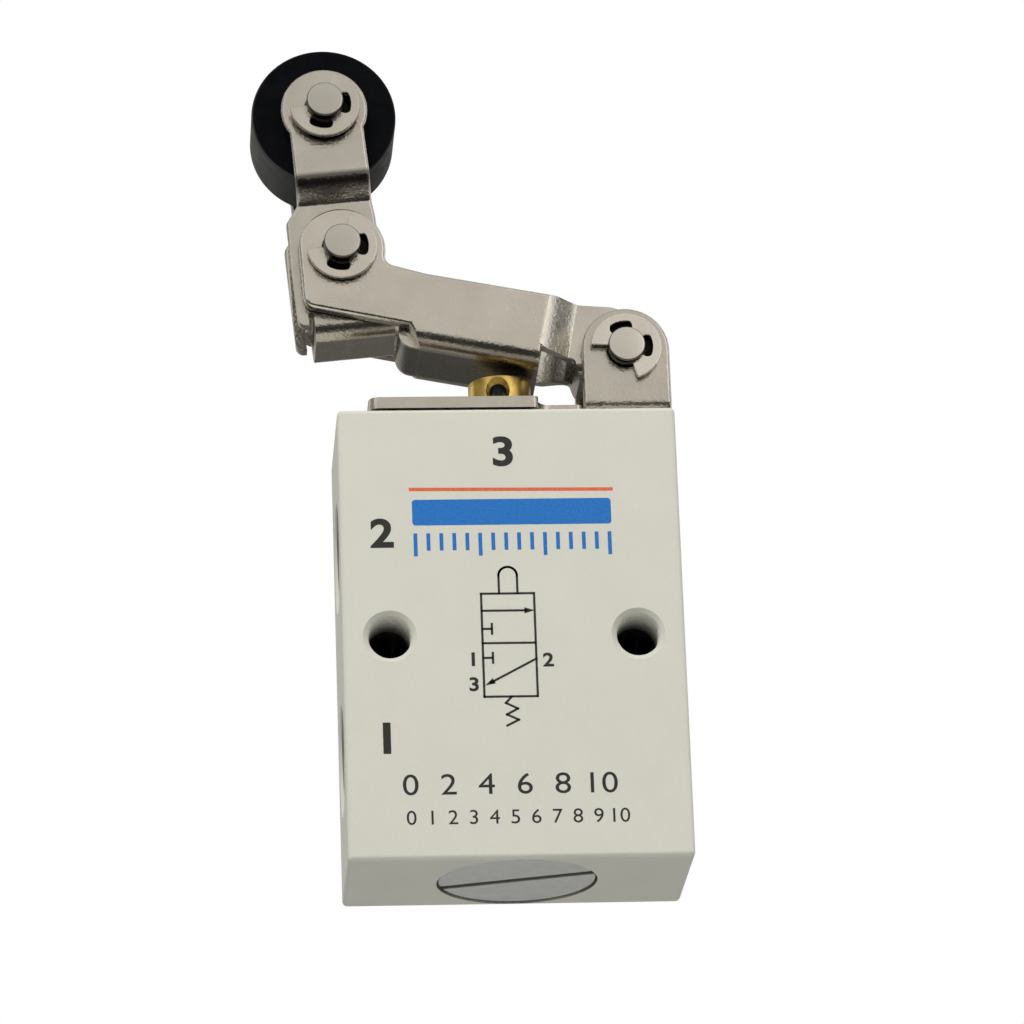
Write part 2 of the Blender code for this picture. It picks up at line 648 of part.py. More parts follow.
def make_clip(name, centre, half_width, standoff, turn, spring_steel):
    """Retaining clip with three prongs, its mouth facing the angle turn."""
    grip = PIN_GROOVE_RADIUS + RUN_GAP

    def stretch(radius, start, end, steps):
        return arc((0.0, 0.0), radius, turn + start, turn + end, steps)

    full = 2 * math.pi
    outline = stretch(CLIP_RADIUS, CLIP_MOUTH, full - CLIP_MOUTH, 22)
    inner = [
        (grip, full - CLIP_MOUTH, full - CLIP_MOUTH - CLIP_PRONG, 4),
        (CLIP_WINDOW_RADIUS, full - CLIP_MOUTH - CLIP_PRONG, math.pi + CLIP_NOSE, 5),
        (grip, math.pi + CLIP_NOSE, math.pi - CLIP_NOSE, 3),
        (CLIP_WINDOW_RADIUS, math.pi - CLIP_NOSE, CLIP_MOUTH + CLIP_PRONG, 5),
        (grip, CLIP_MOUTH + CLIP_PRONG, CLIP_MOUTH, 4),
    ]
    for radius, start, end, steps in inner:
        outline += stretch(radius, start, end, steps)
    back = -(half_width + standoff)
    front = back - CLIP_THICKNESS
    return extruded(name, outline, across_frame(centre), front, back, spring_steel, order="aab")


# Main lever

def lever_half_width(along):
    """Half the channel's outer width, narrower near the pin."""
    share = ease((along - JOGGLE_START) / (JOGGLE_END - JOGGLE_START))
    return (LEVER_NECK_WIDTH + (LEVER_WIDTH - LEVER_NECK_WIDTH) * share) / 2


def channel_section(half, top):
    """U section as (across, up) points, bend radii included."""
    web = -LEVER_WEB_DROP
    outer = LEVER_BEND_RADIUS
    inner = LEVER_BEND_RADIUS - LEVER_SHEET
    inside = half - LEVER_SHEET
    quarter = math.pi / 2
    points = [(-half, top)]
    points += arc((-half + outer, web + outer), outer, 2 * quarter, 3 * quarter, 4)
    points += arc((half - outer, web + outer), outer, 3 * quarter, 4 * quarter, 4)
    points += [(half, top), (inside, top)]
    points += arc((inside - inner, web + LEVER_SHEET + inner), inner, 4 * quarter, 3 * quarter, 2)
    points += arc((-inside + inner, web + LEVER_SHEET + inner), inner, 3 * quarter, 2 * quarter, 2)
    points += [(-inside, top)]
    return points


def lever_outline():
    """The lever seen from the front, as (along, up) points."""
    pin = (0.0, 0.0)
    eye = (ARM_PIN_ALONG, ARM_PIN_UP)
    quarter = math.pi / 2
    throat = ARM_PIN_ALONG - LEVER_END_RADIUS
    under = -LEVER_WEB_DROP - SEAT_GAP
    slant = LEVER_BEND_RADIUS / 2
    corners = [(a, b, 0.0) for a, b in arc(pin, LEVER_WALL_TOP, 3 * quarter, quarter, 12)]
    corners += [
        (LEVER_HUMP_ALONG, LEVER_HUMP_TOP, LEVER_HUMP_FILLET), (LEVER_HUMP_END, LEVER_WALL_TOP, 0.0),
        (WEB_END, LEVER_WALL_TOP, 0.0), (throat, LEVER_THROAT_TOP, LEVER_THROAT_FILLET),
    ]
    corners += [(a, b, 0.0) for a, b in arc(eye, LEVER_END_RADIUS, 2 * quarter, 0.0, 12)]
    corners += [
        (LEVER_HEEL_ALONG, -LEVER_HEEL_DROP, LEVER_HEEL_FILLET),
        (WEB_END + slant, -LEVER_WALL_FOOT, 0.0), (WEB_END - slant, under, 0.0),
        (WEB_START, under, 0.0), (WEB_START, -LEVER_WALL_FOOT, 0.0),
        (LEVER_NECK_END, -LEVER_WALL_FOOT, LEVER_NECK_FILLET),
        (LEVER_NECK_END - LEVER_NECK_SLANT, -LEVER_NECK_FOOT, LEVER_NECK_FILLET),
    ]
    return rounded(corners)


def make_lever(nickel):
    """Channel with joggled walls, a web over the stem and a stop lip for the arm."""
    bm = bmesh.new()
    far = ARM_PIN_ALONG + 2 * LEVER_END_RADIUS
    near = -2 * LEVER_WALL_TOP
    top = ARM_PIN_UP + 2 * LEVER_END_RADIUS
    steps = 8
    joggle = [JOGGLE_START + (JOGGLE_END - JOGGLE_START) * i / steps for i in range(steps + 1)]
    loops = []
    for along in [near] + joggle + [far]:
        section = channel_section(lever_half_width(along), top)
        loops.append([bm.verts.new(lever_point(along, across, up)) for across, up in section])
    for first, second in zip(loops, loops[1:]):
        for i in range(len(first)):
            j = (i + 1) % len(first)
            bm.faces.new((first[i], first[j], second[j], second[i]))
    bm.faces.new(loops[0])
    bm.faces.new(loops[-1])
    lever = finish(bm, "main_lever", nickel)

    wide = LEVER_WIDTH
    outline = extruded("keep_lever_outline", lever_outline(), lever_point, -wide, wide)
    combine(lever, outline, "INTERSECT")

    half_sheet = LEVER_SHEET / 2
    middle = LIP_BEND_RADIUS - half_sheet
    web = -LEVER_WEB_DROP + half_sheet
    bend = arc((LIP_FACE - LIP_BEND_RADIUS, web + middle), middle, -math.pi / 2, 0.0, 5)
    path = [(WEB_END - 3 * LEVER_SHEET, web)] + bend + [(LIP_FACE - half_sheet, LIP_TOP)]
    lip_half = LEVER_INSIDE - LIP_SIDE_GAP
    strip = ribbon(path, LEVER_SHEET - LIP_THINNING)
    lip = extruded("join_stop_lip", strip, lever_point, -lip_half, lip_half)
    combine(lever, lip, "UNION")

    for name, centre in (("lever_pin", LEVER_PIN), ("arm_pin", ARM_PIN)):
        frame = across_frame(centre)
        hole = cylinder_cutter(f"cut_hole_for_{name}", PIN_RADIUS + RUN_GAP, frame, -wide, wide)
        combine(lever, hole)
    return lever


# Roller arm

def arm_strip_path():
    """Middle line of the bent strip, as (across, up) points, front plate first."""
    middle = ARM_SHEET / 2
    fork = FORK_OUTSIDE - middle
    foot = ARM_FOOT_HALF - middle
    bend = ARM_BEND_RADIUS - middle
    floor = -ARM_FOOT_DROP + middle
    steps = 8
    front = [(-fork, ARM_LENGTH + 2 * ARM_HEAD_RADIUS)]
    for i in range(steps + 1):
        up = ARM_JOGGLE_END + (ARM_JOGGLE_START - ARM_JOGGLE_END) * i / steps
        front.append((-(fork + (foot - fork) * ease(i / steps)), up))
    front += arc((-foot + bend, floor + bend), bend, math.pi, 1.5 * math.pi, 5)
    return front + [(-across, up) for across, up in reversed(front)]


def arm_stop_reach():
    """How far right the arm's foot reaches, so that its corner meets the lever's lip."""
    pin_along = (ARM_PIN - LEVER_PIN).dot(LEVER_ALONG)
    foot_along = pin_along - ARM_FOOT_DROP * ARM_UPWARD.dot(LEVER_ALONG)
    return (LIP_FACE + SEAT_GAP - foot_along) / ARM_RIGHTWARD.dot(LEVER_ALONG)


def arm_outline():
    """The arm seen from the front, as (right, up) points."""
    head = (0.0, ARM_LENGTH)
    start = math.asin(ARM_NECK_HALF / ARM_HEAD_RADIUS) - math.pi / 2
    stop = arm_stop_reach()
    slit = -ARM_WEB_LEFT - ARM_RELIEF_WIDTH
    below = -ARM_FOOT_DROP - SEAT_GAP
    corners = [(a, b, 0.0) for a, b in arc(head, ARM_HEAD_RADIUS, start, math.pi - start, 16)]
    corners += [
        (-ARM_NECK_HALF, ARM_SHOULDER + ARM_SHOULDER_RISE, ARM_FILLET),
        (-ARM_LEFT, ARM_SHOULDER, ARM_FILLET), (-ARM_LEFT, -ARM_LOBE_FOOT, ARM_LOBE_FILLET),
        (slit, -ARM_LOBE_FOOT, 0.0), (slit, -ARM_RELIEF_TOP, 0.0),
        (-ARM_WEB_LEFT, -ARM_RELIEF_TOP, 0.0), (-ARM_WEB_LEFT, below, 0.0), (stop, below, 0.0),
        (stop, -ARM_RELIEF_TOP, ARM_FILLET), (ARM_RIGHT, -ARM_RIGHT_FOOT, ARM_FILLET),
        (ARM_RIGHT, ARM_SHOULDER, 0.0), (ARM_NECK_HALF, ARM_JOGGLE_START, 0.0),
    ]
    return rounded(corners)


def make_arm(nickel):
    """Fork bent from one strip, joggled outward around the roller."""
    reach = ARM_LEFT + ARM_RIGHT
    strip = extruded(
        "roller_arm", ribbon(arm_strip_path(), ARM_SHEET), arm_point, -reach, reach, nickel, order="baa",
    )
    wide = 2 * FORK_OUTSIDE
    keep = extruded("keep_arm_outline", arm_outline(), arm_point, -wide, wide)
    combine(strip, keep, "INTERSECT")
    for name, centre in (("arm_pin", ARM_PIN), ("roller_axle", ROLLER_AXLE)):
        frame = across_frame(centre)
        hole = cylinder_cutter(f"cut_arm_hole_{name}", PIN_RADIUS + RUN_GAP, frame, -wide, wide)
        combine(strip, hole)
    return strip


def make_arm_spring(steel):
    """Torsion spring round the arm's pin: one leg on the lip, one on the arm's foot."""
    coil = PIN_RADIUS + RUN_GAP + ARM_SPRING_WIRE
    half = ARM_INSIDE - SLIDE_GAP - ARM_SPRING_WIRE / 2
    count = round(ARM_SPRING_TURNS * COIL)
    start = math.pi
    points = []
    for i in range(count + 1):
        angle = start + 2 * math.pi * ARM_SPRING_TURNS * i / count
        across = -half + 2 * half * i / count
        points.append(arm_point(coil * math.cos(angle), across, coil * math.sin(angle)))
    clear = ARM_SPRING_WIRE / 2 + SEAT_GAP
    foot = arm_point(-ARM_WEB_LEFT - clear, -half, -ARM_FOOT_DROP + ARM_SHEET)
    lip_end = lever_point(LIP_FACE - LEVER_SHEET, half, LIP_TOP + clear)
    return wire("torsion_spring", [foot] + points + [lip_end], ARM_SPRING_WIRE / 2, steel)


# Roller

def make_roller(rubber, steel):
    """Roller, its bearing bush, and a washer each side."""
    frame = across_frame(ROLLER_AXLE)
    half = ROLLER_WIDTH / 2
    bush_inner = PIN_RADIUS + RUN_GAP
    bush_outer = bush_inner + BUSH_WALL
    bore = bush_outer + RUN_GAP
    tyre = [
        (bore, -half), (ROLLER_RADIUS - ROLLER_EDGE, -half), (ROLLER_RADIUS, -half + ROLLER_EDGE),
        (ROLLER_RADIUS, half - ROLLER_EDGE), (ROLLER_RADIUS - ROLLER_EDGE, half), (bore, half),
    ]
    roller = turned("roller", tyre, frame, rubber, steps=FINE, ring=True)
    sleeve = [(bush_inner, -half), (bush_outer, -half), (bush_outer, half), (bush_inner, half)]
    bush = turned("roller_bush", sleeve, frame, steel, steps=SMALL, ring=True)
    washers = []
    for name, side in (("front", -1), ("rear", 1)):
        near = side * (half + SEAT_GAP)
        far = side * (FORK_INSIDE - SEAT_GAP)
        disc = [(bush_inner, near), (WASHER_RADIUS, near), (WASHER_RADIUS, far), (bush_inner, far)]
        washers.append(turned(f"roller_washer_{name}", disc, frame, steel, steps=SMALL, ring=True))
    return [roller, bush], washers


# Parts inside the bore

def make_stem(brass):
    """Hollow brass push rod: domed crown, collar, thin tube that ends in the exhaust seat."""
    drop = STEM_CROWN_RADIUS - math.sqrt(STEM_CROWN_RADIUS ** 2 - STEM_RADIUS ** 2)
    dome = []
    steps = 4
    for i in range(steps + 1):
        radius = STEM_RADIUS * (1 - i / steps)
        sag = STEM_CROWN_RADIUS - math.sqrt(STEM_CROWN_RADIUS ** 2 - radius ** 2)
        dome.append((radius, STEM_CROWN - sag))
    hole_z = STEM_CROWN - EXHAUST_HOLE_BELOW_CROWN
    profile = [
        (0, hole_z), (STEM_BORE_RADIUS, hole_z), (STEM_BORE_RADIUS, STEM_NOSE),
        (STEM_TUBE_RADIUS - STEM_NOSE_CHAMFER, STEM_NOSE),
        (STEM_TUBE_RADIUS, STEM_NOSE + STEM_NOSE_CHAMFER),
        (STEM_TUBE_RADIUS, COLLAR_FOOT), (STEM_COLLAR_RADIUS, COLLAR_FOOT),
        (STEM_COLLAR_RADIUS, COLLAR_TOP), (STEM_RADIUS, COLLAR_TOP),
        (STEM_RADIUS, STEM_CROWN - drop - SEAT_GAP),
    ]
    stem = turned("valve_stem", profile + dome, upright_frame(0.0), brass, steps=ROUND)
    outside = STEM_RADIUS + CUT_PAST
    mouth = EXHAUST_HOLE_RADIUS + EXHAUST_COUNTERSINK + CUT_PAST
    inside = STEM_RADIUS - EXHAUST_COUNTERSINK
    cross = [
        (0, -outside), (mouth, -outside), (EXHAUST_HOLE_RADIUS, -inside),
        (EXHAUST_HOLE_RADIUS, inside), (mouth, outside), (0, outside),
    ]
    turn = Matrix.Rotation(-EXHAUST_HOLE_TURN, 3, "Z")

    def hole_frame(right, up, back):
        return Vector((0.0, MIDDLE_Y, hole_z)) + turn @ Vector((right, back, up))

    return combine(stem, turned("cut_exhaust_hole", cross, hole_frame, steps=SMALL))


def make_stem_ring(rubber):
    """O-ring in the body's groove round the stem."""
    height = STEM_GROOVE_FOOT + STEM_GROOVE_WIDTH / 2
    radius = GUIDE_RADIUS + STEM_GROOVE_DEPTH / 2
    profile = torus_profile(radius, RING_WIRE_RADIUS, height)
    return turned("stem_o_ring", profile, upright_frame(0.0), rubber, ring=True)


def grooved_ring(name, height, rubber):
    """O-ring in a groove round a piece that sits in the supply bore."""
    radius = RING_GROOVE_RADIUS + RUN_GAP + RING_WIRE_RADIUS
    profile = torus_profile(radius, RING_WIRE_RADIUS, height)
    return turned(name, profile, upright_frame(0.0), rubber, ring=True)


def make_seat_ring(brass, rubber):
    """Ring under the shoulder with the supply seat's lip, sealed by its own O-ring."""
    lip = SEAT_HOLE_RADIUS + SEAT_LIP_WIDTH
    middle = (SEAT_RING_TOP + SEAT_RING_FOOT) / 2
    low = middle - RING_GROOVE_WIDTH / 2
    high = middle + RING_GROOVE_WIDTH / 2
    profile = [
        (SEAT_HOLE_RADIUS, SEAT_RING_TOP), (SHANK_RADIUS, SEAT_RING_TOP), (SHANK_RADIUS, high),
        (RING_GROOVE_RADIUS, high), (RING_GROOVE_RADIUS, low), (SHANK_RADIUS, low),
        (SHANK_RADIUS, SEAT_RING_FOOT), (lip + SEAT_LIP_HEIGHT / 2, SEAT_RING_FOOT),
        (lip, SEAT_LIP_FOOT), (SEAT_HOLE_RADIUS, SEAT_LIP_FOOT),
    ]
    ring = turned("seat_ring", profile, upright_frame(0.0), brass, ring=True)
    return [ring, grooved_ring("seat_o_ring", middle, rubber)]


def make_sleeve(aluminium):
    """Spacer between the plug and the seat ring, with windows in front of the supply port."""
    low = PLUG_TOP + SEAT_GAP
    high = SEAT_RING_FOOT - SEAT_GAP
    profile = [(SLEEVE_INSIDE, low), (SHANK_RADIUS, low), (SHANK_RADIUS, high), (SLEEVE_INSIDE, high)]
    sleeve = turned("spacer_sleeve", profile, upright_frame(0.0), aluminium, ring=True)
    centre = Vector((0.0, MIDDLE_Y, BODY_BOTTOM + SUPPLY_PORT_HEIGHT))
    reach = SUPPLY_BORE_RADIUS + SLEEVE_WALL
    fore = cylinder_cutter("cut_window_fore", SLEEVE_WINDOW_RADIUS, across_frame(centre), -reach, reach)
    combine(sleeve, fore)
    side = port_frame(SUPPLY_PORT_HEIGHT)
    middle = BODY_WIDTH / 2
    low = middle - reach
    high = middle + reach
    combine(sleeve, cylinder_cutter("cut_window_side", SLEEVE_WINDOW_RADIUS, side, low, high))
    return sleeve


def make_poppet(aluminium, rubber):
    """Cup with a guide stub that carries the sealing disc."""
    inside = POPPET_SEAL_RADIUS + RUN_GAP
    rim = SEAL_TOP - POPPET_SEAL_THICKNESS / 4
    cup = [
        (0, POPPET_TOP), (inside, POPPET_TOP), (inside, rim), (inside + POPPET_WALL, rim),
        (inside + POPPET_WALL, POPPET_FOOT), (POPPET_BOSS_RADIUS, POPPET_FOOT),
        (POPPET_BOSS_RADIUS, POPPET_FOOT - POPPET_BOSS_LENGTH),
        (POPPET_GUIDE_RADIUS, POPPET_FOOT - POPPET_BOSS_LENGTH),
        (POPPET_GUIDE_RADIUS, POPPET_FOOT - POPPET_GUIDE_LENGTH), (0, POPPET_FOOT - POPPET_GUIDE_LENGTH),
    ]
    disc = [(0, SEAL_FOOT), (POPPET_SEAL_RADIUS, SEAL_FOOT), (POPPET_SEAL_RADIUS, SEAL_TOP), (0, SEAL_TOP)]
    upright = upright_frame(0.0)
    return [turned("poppet", cup, upright, aluminium), turned("poppet_seal", disc, upright, rubber)]


def make_plug(steel, rubber):
    """Slotted plug that closes the bore, pocketed for the poppet's spring."""
    groove_low = PLUG_HEAD_TOP + SEAT_GAP + RING_GROOVE_WIDTH / 2
    groove_high = groove_low + RING_GROOVE_WIDTH
    edge = PLUG_EDGE_CHAMFER
    profile = [
        (0, PLUG_FOOT), (PLUG_HEAD_RADIUS - edge, PLUG_FOOT), (PLUG_HEAD_RADIUS, PLUG_FOOT + edge),
        (PLUG_HEAD_RADIUS, PLUG_HEAD_TOP), (SHANK_RADIUS, PLUG_HEAD_TOP), (SHANK_RADIUS, groove_low),
        (RING_GROOVE_RADIUS, groove_low), (RING_GROOVE_RADIUS, groove_high), (SHANK_RADIUS, groove_high),
        (SHANK_RADIUS, PLUG_TOP), (PLUG_POCKET_RADIUS, PLUG_TOP), (PLUG_POCKET_RADIUS, POCKET_FLOOR),
        (0, POCKET_FLOOR),
    ]
    plug = turned("bottom_plug", profile, upright_frame(0.0), steel, steps=FINE)
    across = PLUG_SLOT_WIDTH / 2
    reach = PLUG_HEAD_RADIUS * 1.1
    turn = Matrix.Rotation(PLUG_SLOT_ANGLE, 2)
    corners = ((-reach, -across), (reach, -across), (reach, across), (-reach, across))
    slot = [tuple(turn @ Vector(corner)) for corner in corners]
    low = PLUG_FOOT - PLUG_SLOT_DEPTH
    high = PLUG_FOOT + PLUG_SLOT_DEPTH
    cutter = extruded("cut_plug_slot", slot, upright_frame(0.0), low, high, order="aab")
    combine(plug, cutter)
    ring = grooved_ring("plug_o_ring", (groove_low + groove_high) / 2, rubber)
    return [plug, ring]


def coil_points(radius, low, high, turns):
    """Points of an upright coil spring with closed end turns."""
    count = round(turns * COIL)
    dead = SPRING_END_TURN / turns
    points = []
    for i in range(count + 1):
        share = i / count
        climb = min(max((share - dead) / (1 - 2 * dead), 0.0), 1.0)
        rise = SPRING_END_RISE * share + (1 - SPRING_END_RISE) * climb
        angle = 2 * math.pi * turns * share
        height = low + (high - low) * rise
        points.append(body_point(radius * math.cos(angle), radius * math.sin(angle), height))
    return points


def make_upright_springs(steel):
    """The stem's return spring and the poppet's spring."""
    thick = STEM_SPRING_WIRE / 2
    radius = (STEM_TUBE_RADIUS + OUTLET_BORE_RADIUS) / 2
    low = SEAT_RING_TOP + SEAT_GAP + thick
    high = COLLAR_FOOT - SEAT_GAP - thick
    coil = coil_points(radius, low, high, STEM_SPRING_TURNS)
    stem_spring = wire("stem_spring", coil, thick, steel)
    thin = POPPET_SPRING_WIRE / 2
    around = (POPPET_BOSS_RADIUS + PLUG_POCKET_RADIUS) / 2
    floor = POCKET_FLOOR + SEAT_GAP + thin
    ceiling = POPPET_FOOT - SEAT_GAP - thin
    coil = coil_points(around, floor, ceiling, POPPET_SPRING_TURNS)
    poppet_spring = wire("poppet_spring", coil, thin, steel)
    return [stem_spring, poppet_spring]


# Assembly

def joint(name, place, parent=None):
    """An empty on a joint's axis."""
    empty = bpy.data.objects.new(name, None)
    bpy.context.collection.objects.link(empty)
    empty.empty_display_size = BODY_DEPTH / 4
    empty.location = place - parent.matrix_world.translation if parent else place
    empty.parent = parent
    bpy.context.view_layer.update()
    return empty


def carry(empty, pieces):
    """Hang pieces on a joint without moving them."""
    for piece in pieces:
        piece.parent = empty
        piece.matrix_parent_inverse = empty.matrix_world.inverted()


def build():
    """Model the whole valve."""
    for old in list(bpy.data.objects):
        bpy.data.objects.remove(old, do_unlink=True)
    paint = material("pale_paint", (0.62, 0.63, 0.57), 0.0, 0.45)
    nickel = material("nickel_plate", (0.62, 0.58, 0.51), 1.0, 0.32)
    steel = material("bright_steel", (0.60, 0.60, 0.58), 1.0, 0.30)
    brass = material("brass", (0.72, 0.50, 0.20), 1.0, 0.28)
    aluminium = material("plain_aluminium", (0.70, 0.70, 0.70), 1.0, 0.40)
    black = material("black_plastic", (0.006, 0.007, 0.009), 0.0, 0.35)
    rubber = material("black_rubber", (0.02, 0.02, 0.02), 0.0, 0.60)

    make_body(paint)
    make_bracket(nickel)
    make_bracket_screws(steel)
    make_stem_ring(rubber)
    make_seat_ring(brass, rubber)
    make_sleeve(aluminium)
    make_plug(aluminium, rubber)
    make_upright_springs(steel)

    ear_half = EAR_SPREAD / 2
    lever_half = LEVER_WIDTH / 2
    make_pin("lever_pin", LEVER_PIN, ear_half, LEVER_PIN_END, LEVER_CLIP_STANDOFF, nickel)
    make_clip("lever_pin_clip", LEVER_PIN, ear_half, LEVER_CLIP_STANDOFF, LEVER_CLIP_TURN, nickel)

    middle = Vector((0.0, MIDDLE_Y, 0.0))
    stem_axis = joint("stem_axis", middle)
    carry(stem_axis, [make_stem(brass)])
    poppet_axis = joint("poppet_axis", middle)
    carry(poppet_axis, make_poppet(aluminium, rubber))

    lever_axis = joint("lever_axis", LEVER_PIN)
    carry(lever_axis, [
        make_lever(nickel),
        make_pin("arm_pin", ARM_PIN, lever_half, ARM_PIN_END, ARM_CLIP_STANDOFF, nickel),
        make_clip("arm_pin_clip", ARM_PIN, lever_half, ARM_CLIP_STANDOFF, ARM_CLIP_TURN, nickel),
        make_arm_spring(steel),
    ])
    rolling, washers = make_roller(black, steel)
    arm_axis = joint("arm_axis", ARM_PIN, lever_axis)
    carry(arm_axis, washers + [
        make_arm(nickel),
        make_pin("roller_axle", ROLLER_AXLE, FORK_OUTSIDE, AXLE_END, AXLE_CLIP_STANDOFF, nickel),
        make_clip("axle_clip", ROLLER_AXLE, FORK_OUTSIDE, AXLE_CLIP_STANDOFF, AXLE_CLIP_TURN, nickel),
    ])
    carry(joint("roller_axis", ROLLER_AXLE, arm_axis), rolling)


build()
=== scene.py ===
# %% [markdown]
# # A small air valve with a roller lever
#
# The object is a painted block the size of a matchbox, with a folded lever on top. A cam presses the
# roller, the lever pushes a brass rod into the block, and air flows. The packed model already has every
# piece at its place and size, so this lesson dresses it: finer shapes, threads, rounded edges, printed
# marks, and materials with grain.

import json
import math

import bmesh
import bpy
from mathutils import Matrix, Vector


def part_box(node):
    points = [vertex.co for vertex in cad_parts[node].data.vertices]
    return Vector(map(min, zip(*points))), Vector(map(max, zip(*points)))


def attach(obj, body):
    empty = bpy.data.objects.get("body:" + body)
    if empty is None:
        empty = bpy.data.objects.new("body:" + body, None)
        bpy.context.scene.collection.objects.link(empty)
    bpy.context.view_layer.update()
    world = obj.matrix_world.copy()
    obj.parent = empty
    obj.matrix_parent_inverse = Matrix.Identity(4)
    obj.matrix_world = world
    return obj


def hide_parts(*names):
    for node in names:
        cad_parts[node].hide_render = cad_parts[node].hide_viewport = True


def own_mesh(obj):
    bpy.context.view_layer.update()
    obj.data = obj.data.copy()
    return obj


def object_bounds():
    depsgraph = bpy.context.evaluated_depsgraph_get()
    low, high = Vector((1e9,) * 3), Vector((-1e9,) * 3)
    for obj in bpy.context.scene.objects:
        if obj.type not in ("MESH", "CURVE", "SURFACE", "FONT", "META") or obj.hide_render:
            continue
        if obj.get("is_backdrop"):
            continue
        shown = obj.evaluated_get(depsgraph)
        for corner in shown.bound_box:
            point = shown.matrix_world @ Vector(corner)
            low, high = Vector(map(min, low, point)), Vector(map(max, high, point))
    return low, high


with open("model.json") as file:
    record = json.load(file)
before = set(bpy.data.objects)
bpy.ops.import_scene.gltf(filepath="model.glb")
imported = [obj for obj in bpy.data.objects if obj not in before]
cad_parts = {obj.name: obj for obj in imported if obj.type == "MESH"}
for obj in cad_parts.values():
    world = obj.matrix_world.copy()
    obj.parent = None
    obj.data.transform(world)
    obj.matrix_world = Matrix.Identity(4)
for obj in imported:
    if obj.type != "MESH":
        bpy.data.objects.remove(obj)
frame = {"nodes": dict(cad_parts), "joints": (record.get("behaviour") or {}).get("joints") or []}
cad_low, cad_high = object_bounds()
print("solids:", len(frame["nodes"]), "size in mm:", [round(1000 * s, 1) for s in cad_high - cad_low])

# %% [markdown]
# ## Places
#
# Sizes are written in millimetres, as on a drawing, and turned into metres in one spot. The pins' places
# come from the joints of the packed model, so a piece can't drift away from what it turns on. The lever
# leans, and so does the arm: each gets its own axes, and its outline is drawn in them, lying straight.

# %% Axes of the block, the lever and the arm
MM = 0.001
BLOCK_WIDTH = 40.0
BLOCK_DEPTH = 20.0
BLOCK_BOTTOM = -27.0
BLOCK_TOP = 28.2
MIDDLE = -BLOCK_DEPTH / 2
LEVER_SLOPE = math.radians(10.8)
ARM_LEAN = math.radians(5.3)

centres = {j["name"]: Vector(j["pos_m"]) / MM for j in frame["joints"] if "pos_m" in j}
LEVER_PIN = centres["lever_press"]
ARM_PIN = centres["arm_fold"]
AXLE = centres["roller_spin"]

ALONG = Vector((-math.cos(LEVER_SLOPE), 0.0, math.sin(LEVER_SLOPE)))
LEVER_UP = Vector((math.sin(LEVER_SLOPE), 0.0, math.cos(LEVER_SLOPE)))
ARM_RIGHT = Vector((math.cos(ARM_LEAN), 0.0, math.sin(ARM_LEAN)))
ARM_UP = Vector((-math.sin(ARM_LEAN), 0.0, math.cos(ARM_LEAN)))
ACROSS = Vector((0.0, 1.0, 0.0))


def on_lever(along, up, across):
    return (LEVER_PIN + along * ALONG + up * LEVER_UP + across * ACROSS) * MM


def on_arm(right, up, across):
    return (ARM_PIN + right * ARM_RIGHT + up * ARM_UP + across * ACROSS) * MM


def on_block(right, across, up):
    return Vector((right, MIDDLE + across, up)) * MM


def around(centre):
    """Places for a round piece whose axis runs from front to back through centre."""
    return lambda right, up, across: (centre + Vector((right, across, up))) * MM


def from_left(height):
    """Places for a round hole that runs inwards from the block's left face."""
    return lambda back, up, inward: Vector((inward - BLOCK_WIDTH / 2, MIDDLE + back, height + up)) * MM


print("pins in mm:", [[round(c, 2) for c in p] for p in (LEVER_PIN, ARM_PIN, AXLE)])

# %% [markdown]
# ## Working by hand, in code
#
# An operator works on whatever is selected, just as in the window. So each step first selects exactly
# what it needs. `add` deselects all before it makes something new, `only` selects one object, and `pick`
# selects corners, edges or faces by their place.

# %% Add, select and enter


def add(name, operator, **options):
    """Make one new object with an operator, with nothing else selected."""
    bpy.ops.object.select_all(action="DESELECT")
    operator(**options)
    made = bpy.context.active_object
    made.name = name
    return made


def only(piece):
    """Make piece the one selected and active object."""
    if bpy.context.object and bpy.context.object.mode != "OBJECT":
        bpy.ops.object.mode_set(mode="OBJECT")
    bpy.ops.object.select_all(action="DESELECT")
    piece.select_set(True)
    bpy.context.view_layer.objects.active = piece


def edit(piece):
    only(piece)
    bpy.ops.object.mode_set(mode="EDIT")


def done():
    bpy.ops.object.mode_set(mode="OBJECT")


def pick(piece, test, kind="FACE"):
    """In edit mode, select the faces, edges or corners that pass a test."""
    bpy.ops.mesh.select_mode(type=kind)
    bpy.ops.mesh.select_all(action="DESELECT")
    shape = bmesh.from_edit_mesh(piece.data)
    items = {"FACE": shape.faces, "EDGE": shape.edges, "VERT": shape.verts}[kind]
    for item in items:
        item.select_set(test(item))
    shape.select_flush_mode()
    bmesh.update_edit_mesh(piece.data)


print("helpers:", ", ".join(f.__name__ for f in (add, only, edit, done, pick)))

# %% [markdown]
# ## Leaving a clean mesh
#
# Three things are done again and again before a mesh is used further: its faces are turned outwards, its
# modifiers are applied, and its own turn and size go into the mesh. They could be left for later, but a
# Boolean and a bevel both give better results on a mesh that is plain and real.

# %% Outwards, applied and still


def face_outwards(piece):
    """Turn all faces of a closed mesh outwards."""
    edit(piece)
    bpy.ops.mesh.select_all(action="SELECT")
    bpy.ops.mesh.normals_make_consistent(inside=False)
    done()


def apply_all(piece):
    """Apply the modifiers, from the first to the last."""
    only(piece)
    for step in list(piece.modifiers):
        bpy.ops.object.modifier_apply(modifier=step.name)


def still(piece):
    """Move a piece's turn and size into its mesh, so that its object sits at the origin."""
    only(piece)
    bpy.ops.object.transform_apply(location=True, rotation=True, scale=True)


print("clean-up helpers:", ", ".join(f.__name__ for f in (face_outwards, apply_all, still)))

# %% [markdown]
# ## Outlines
#
# Sheet metal parts begin as a flat outline. Straight corners get a fillet, because a punch never leaves
# them sharp. An arc is a row of points, and enough of them that no flat shows in a close view.

# %% Arcs and fillets


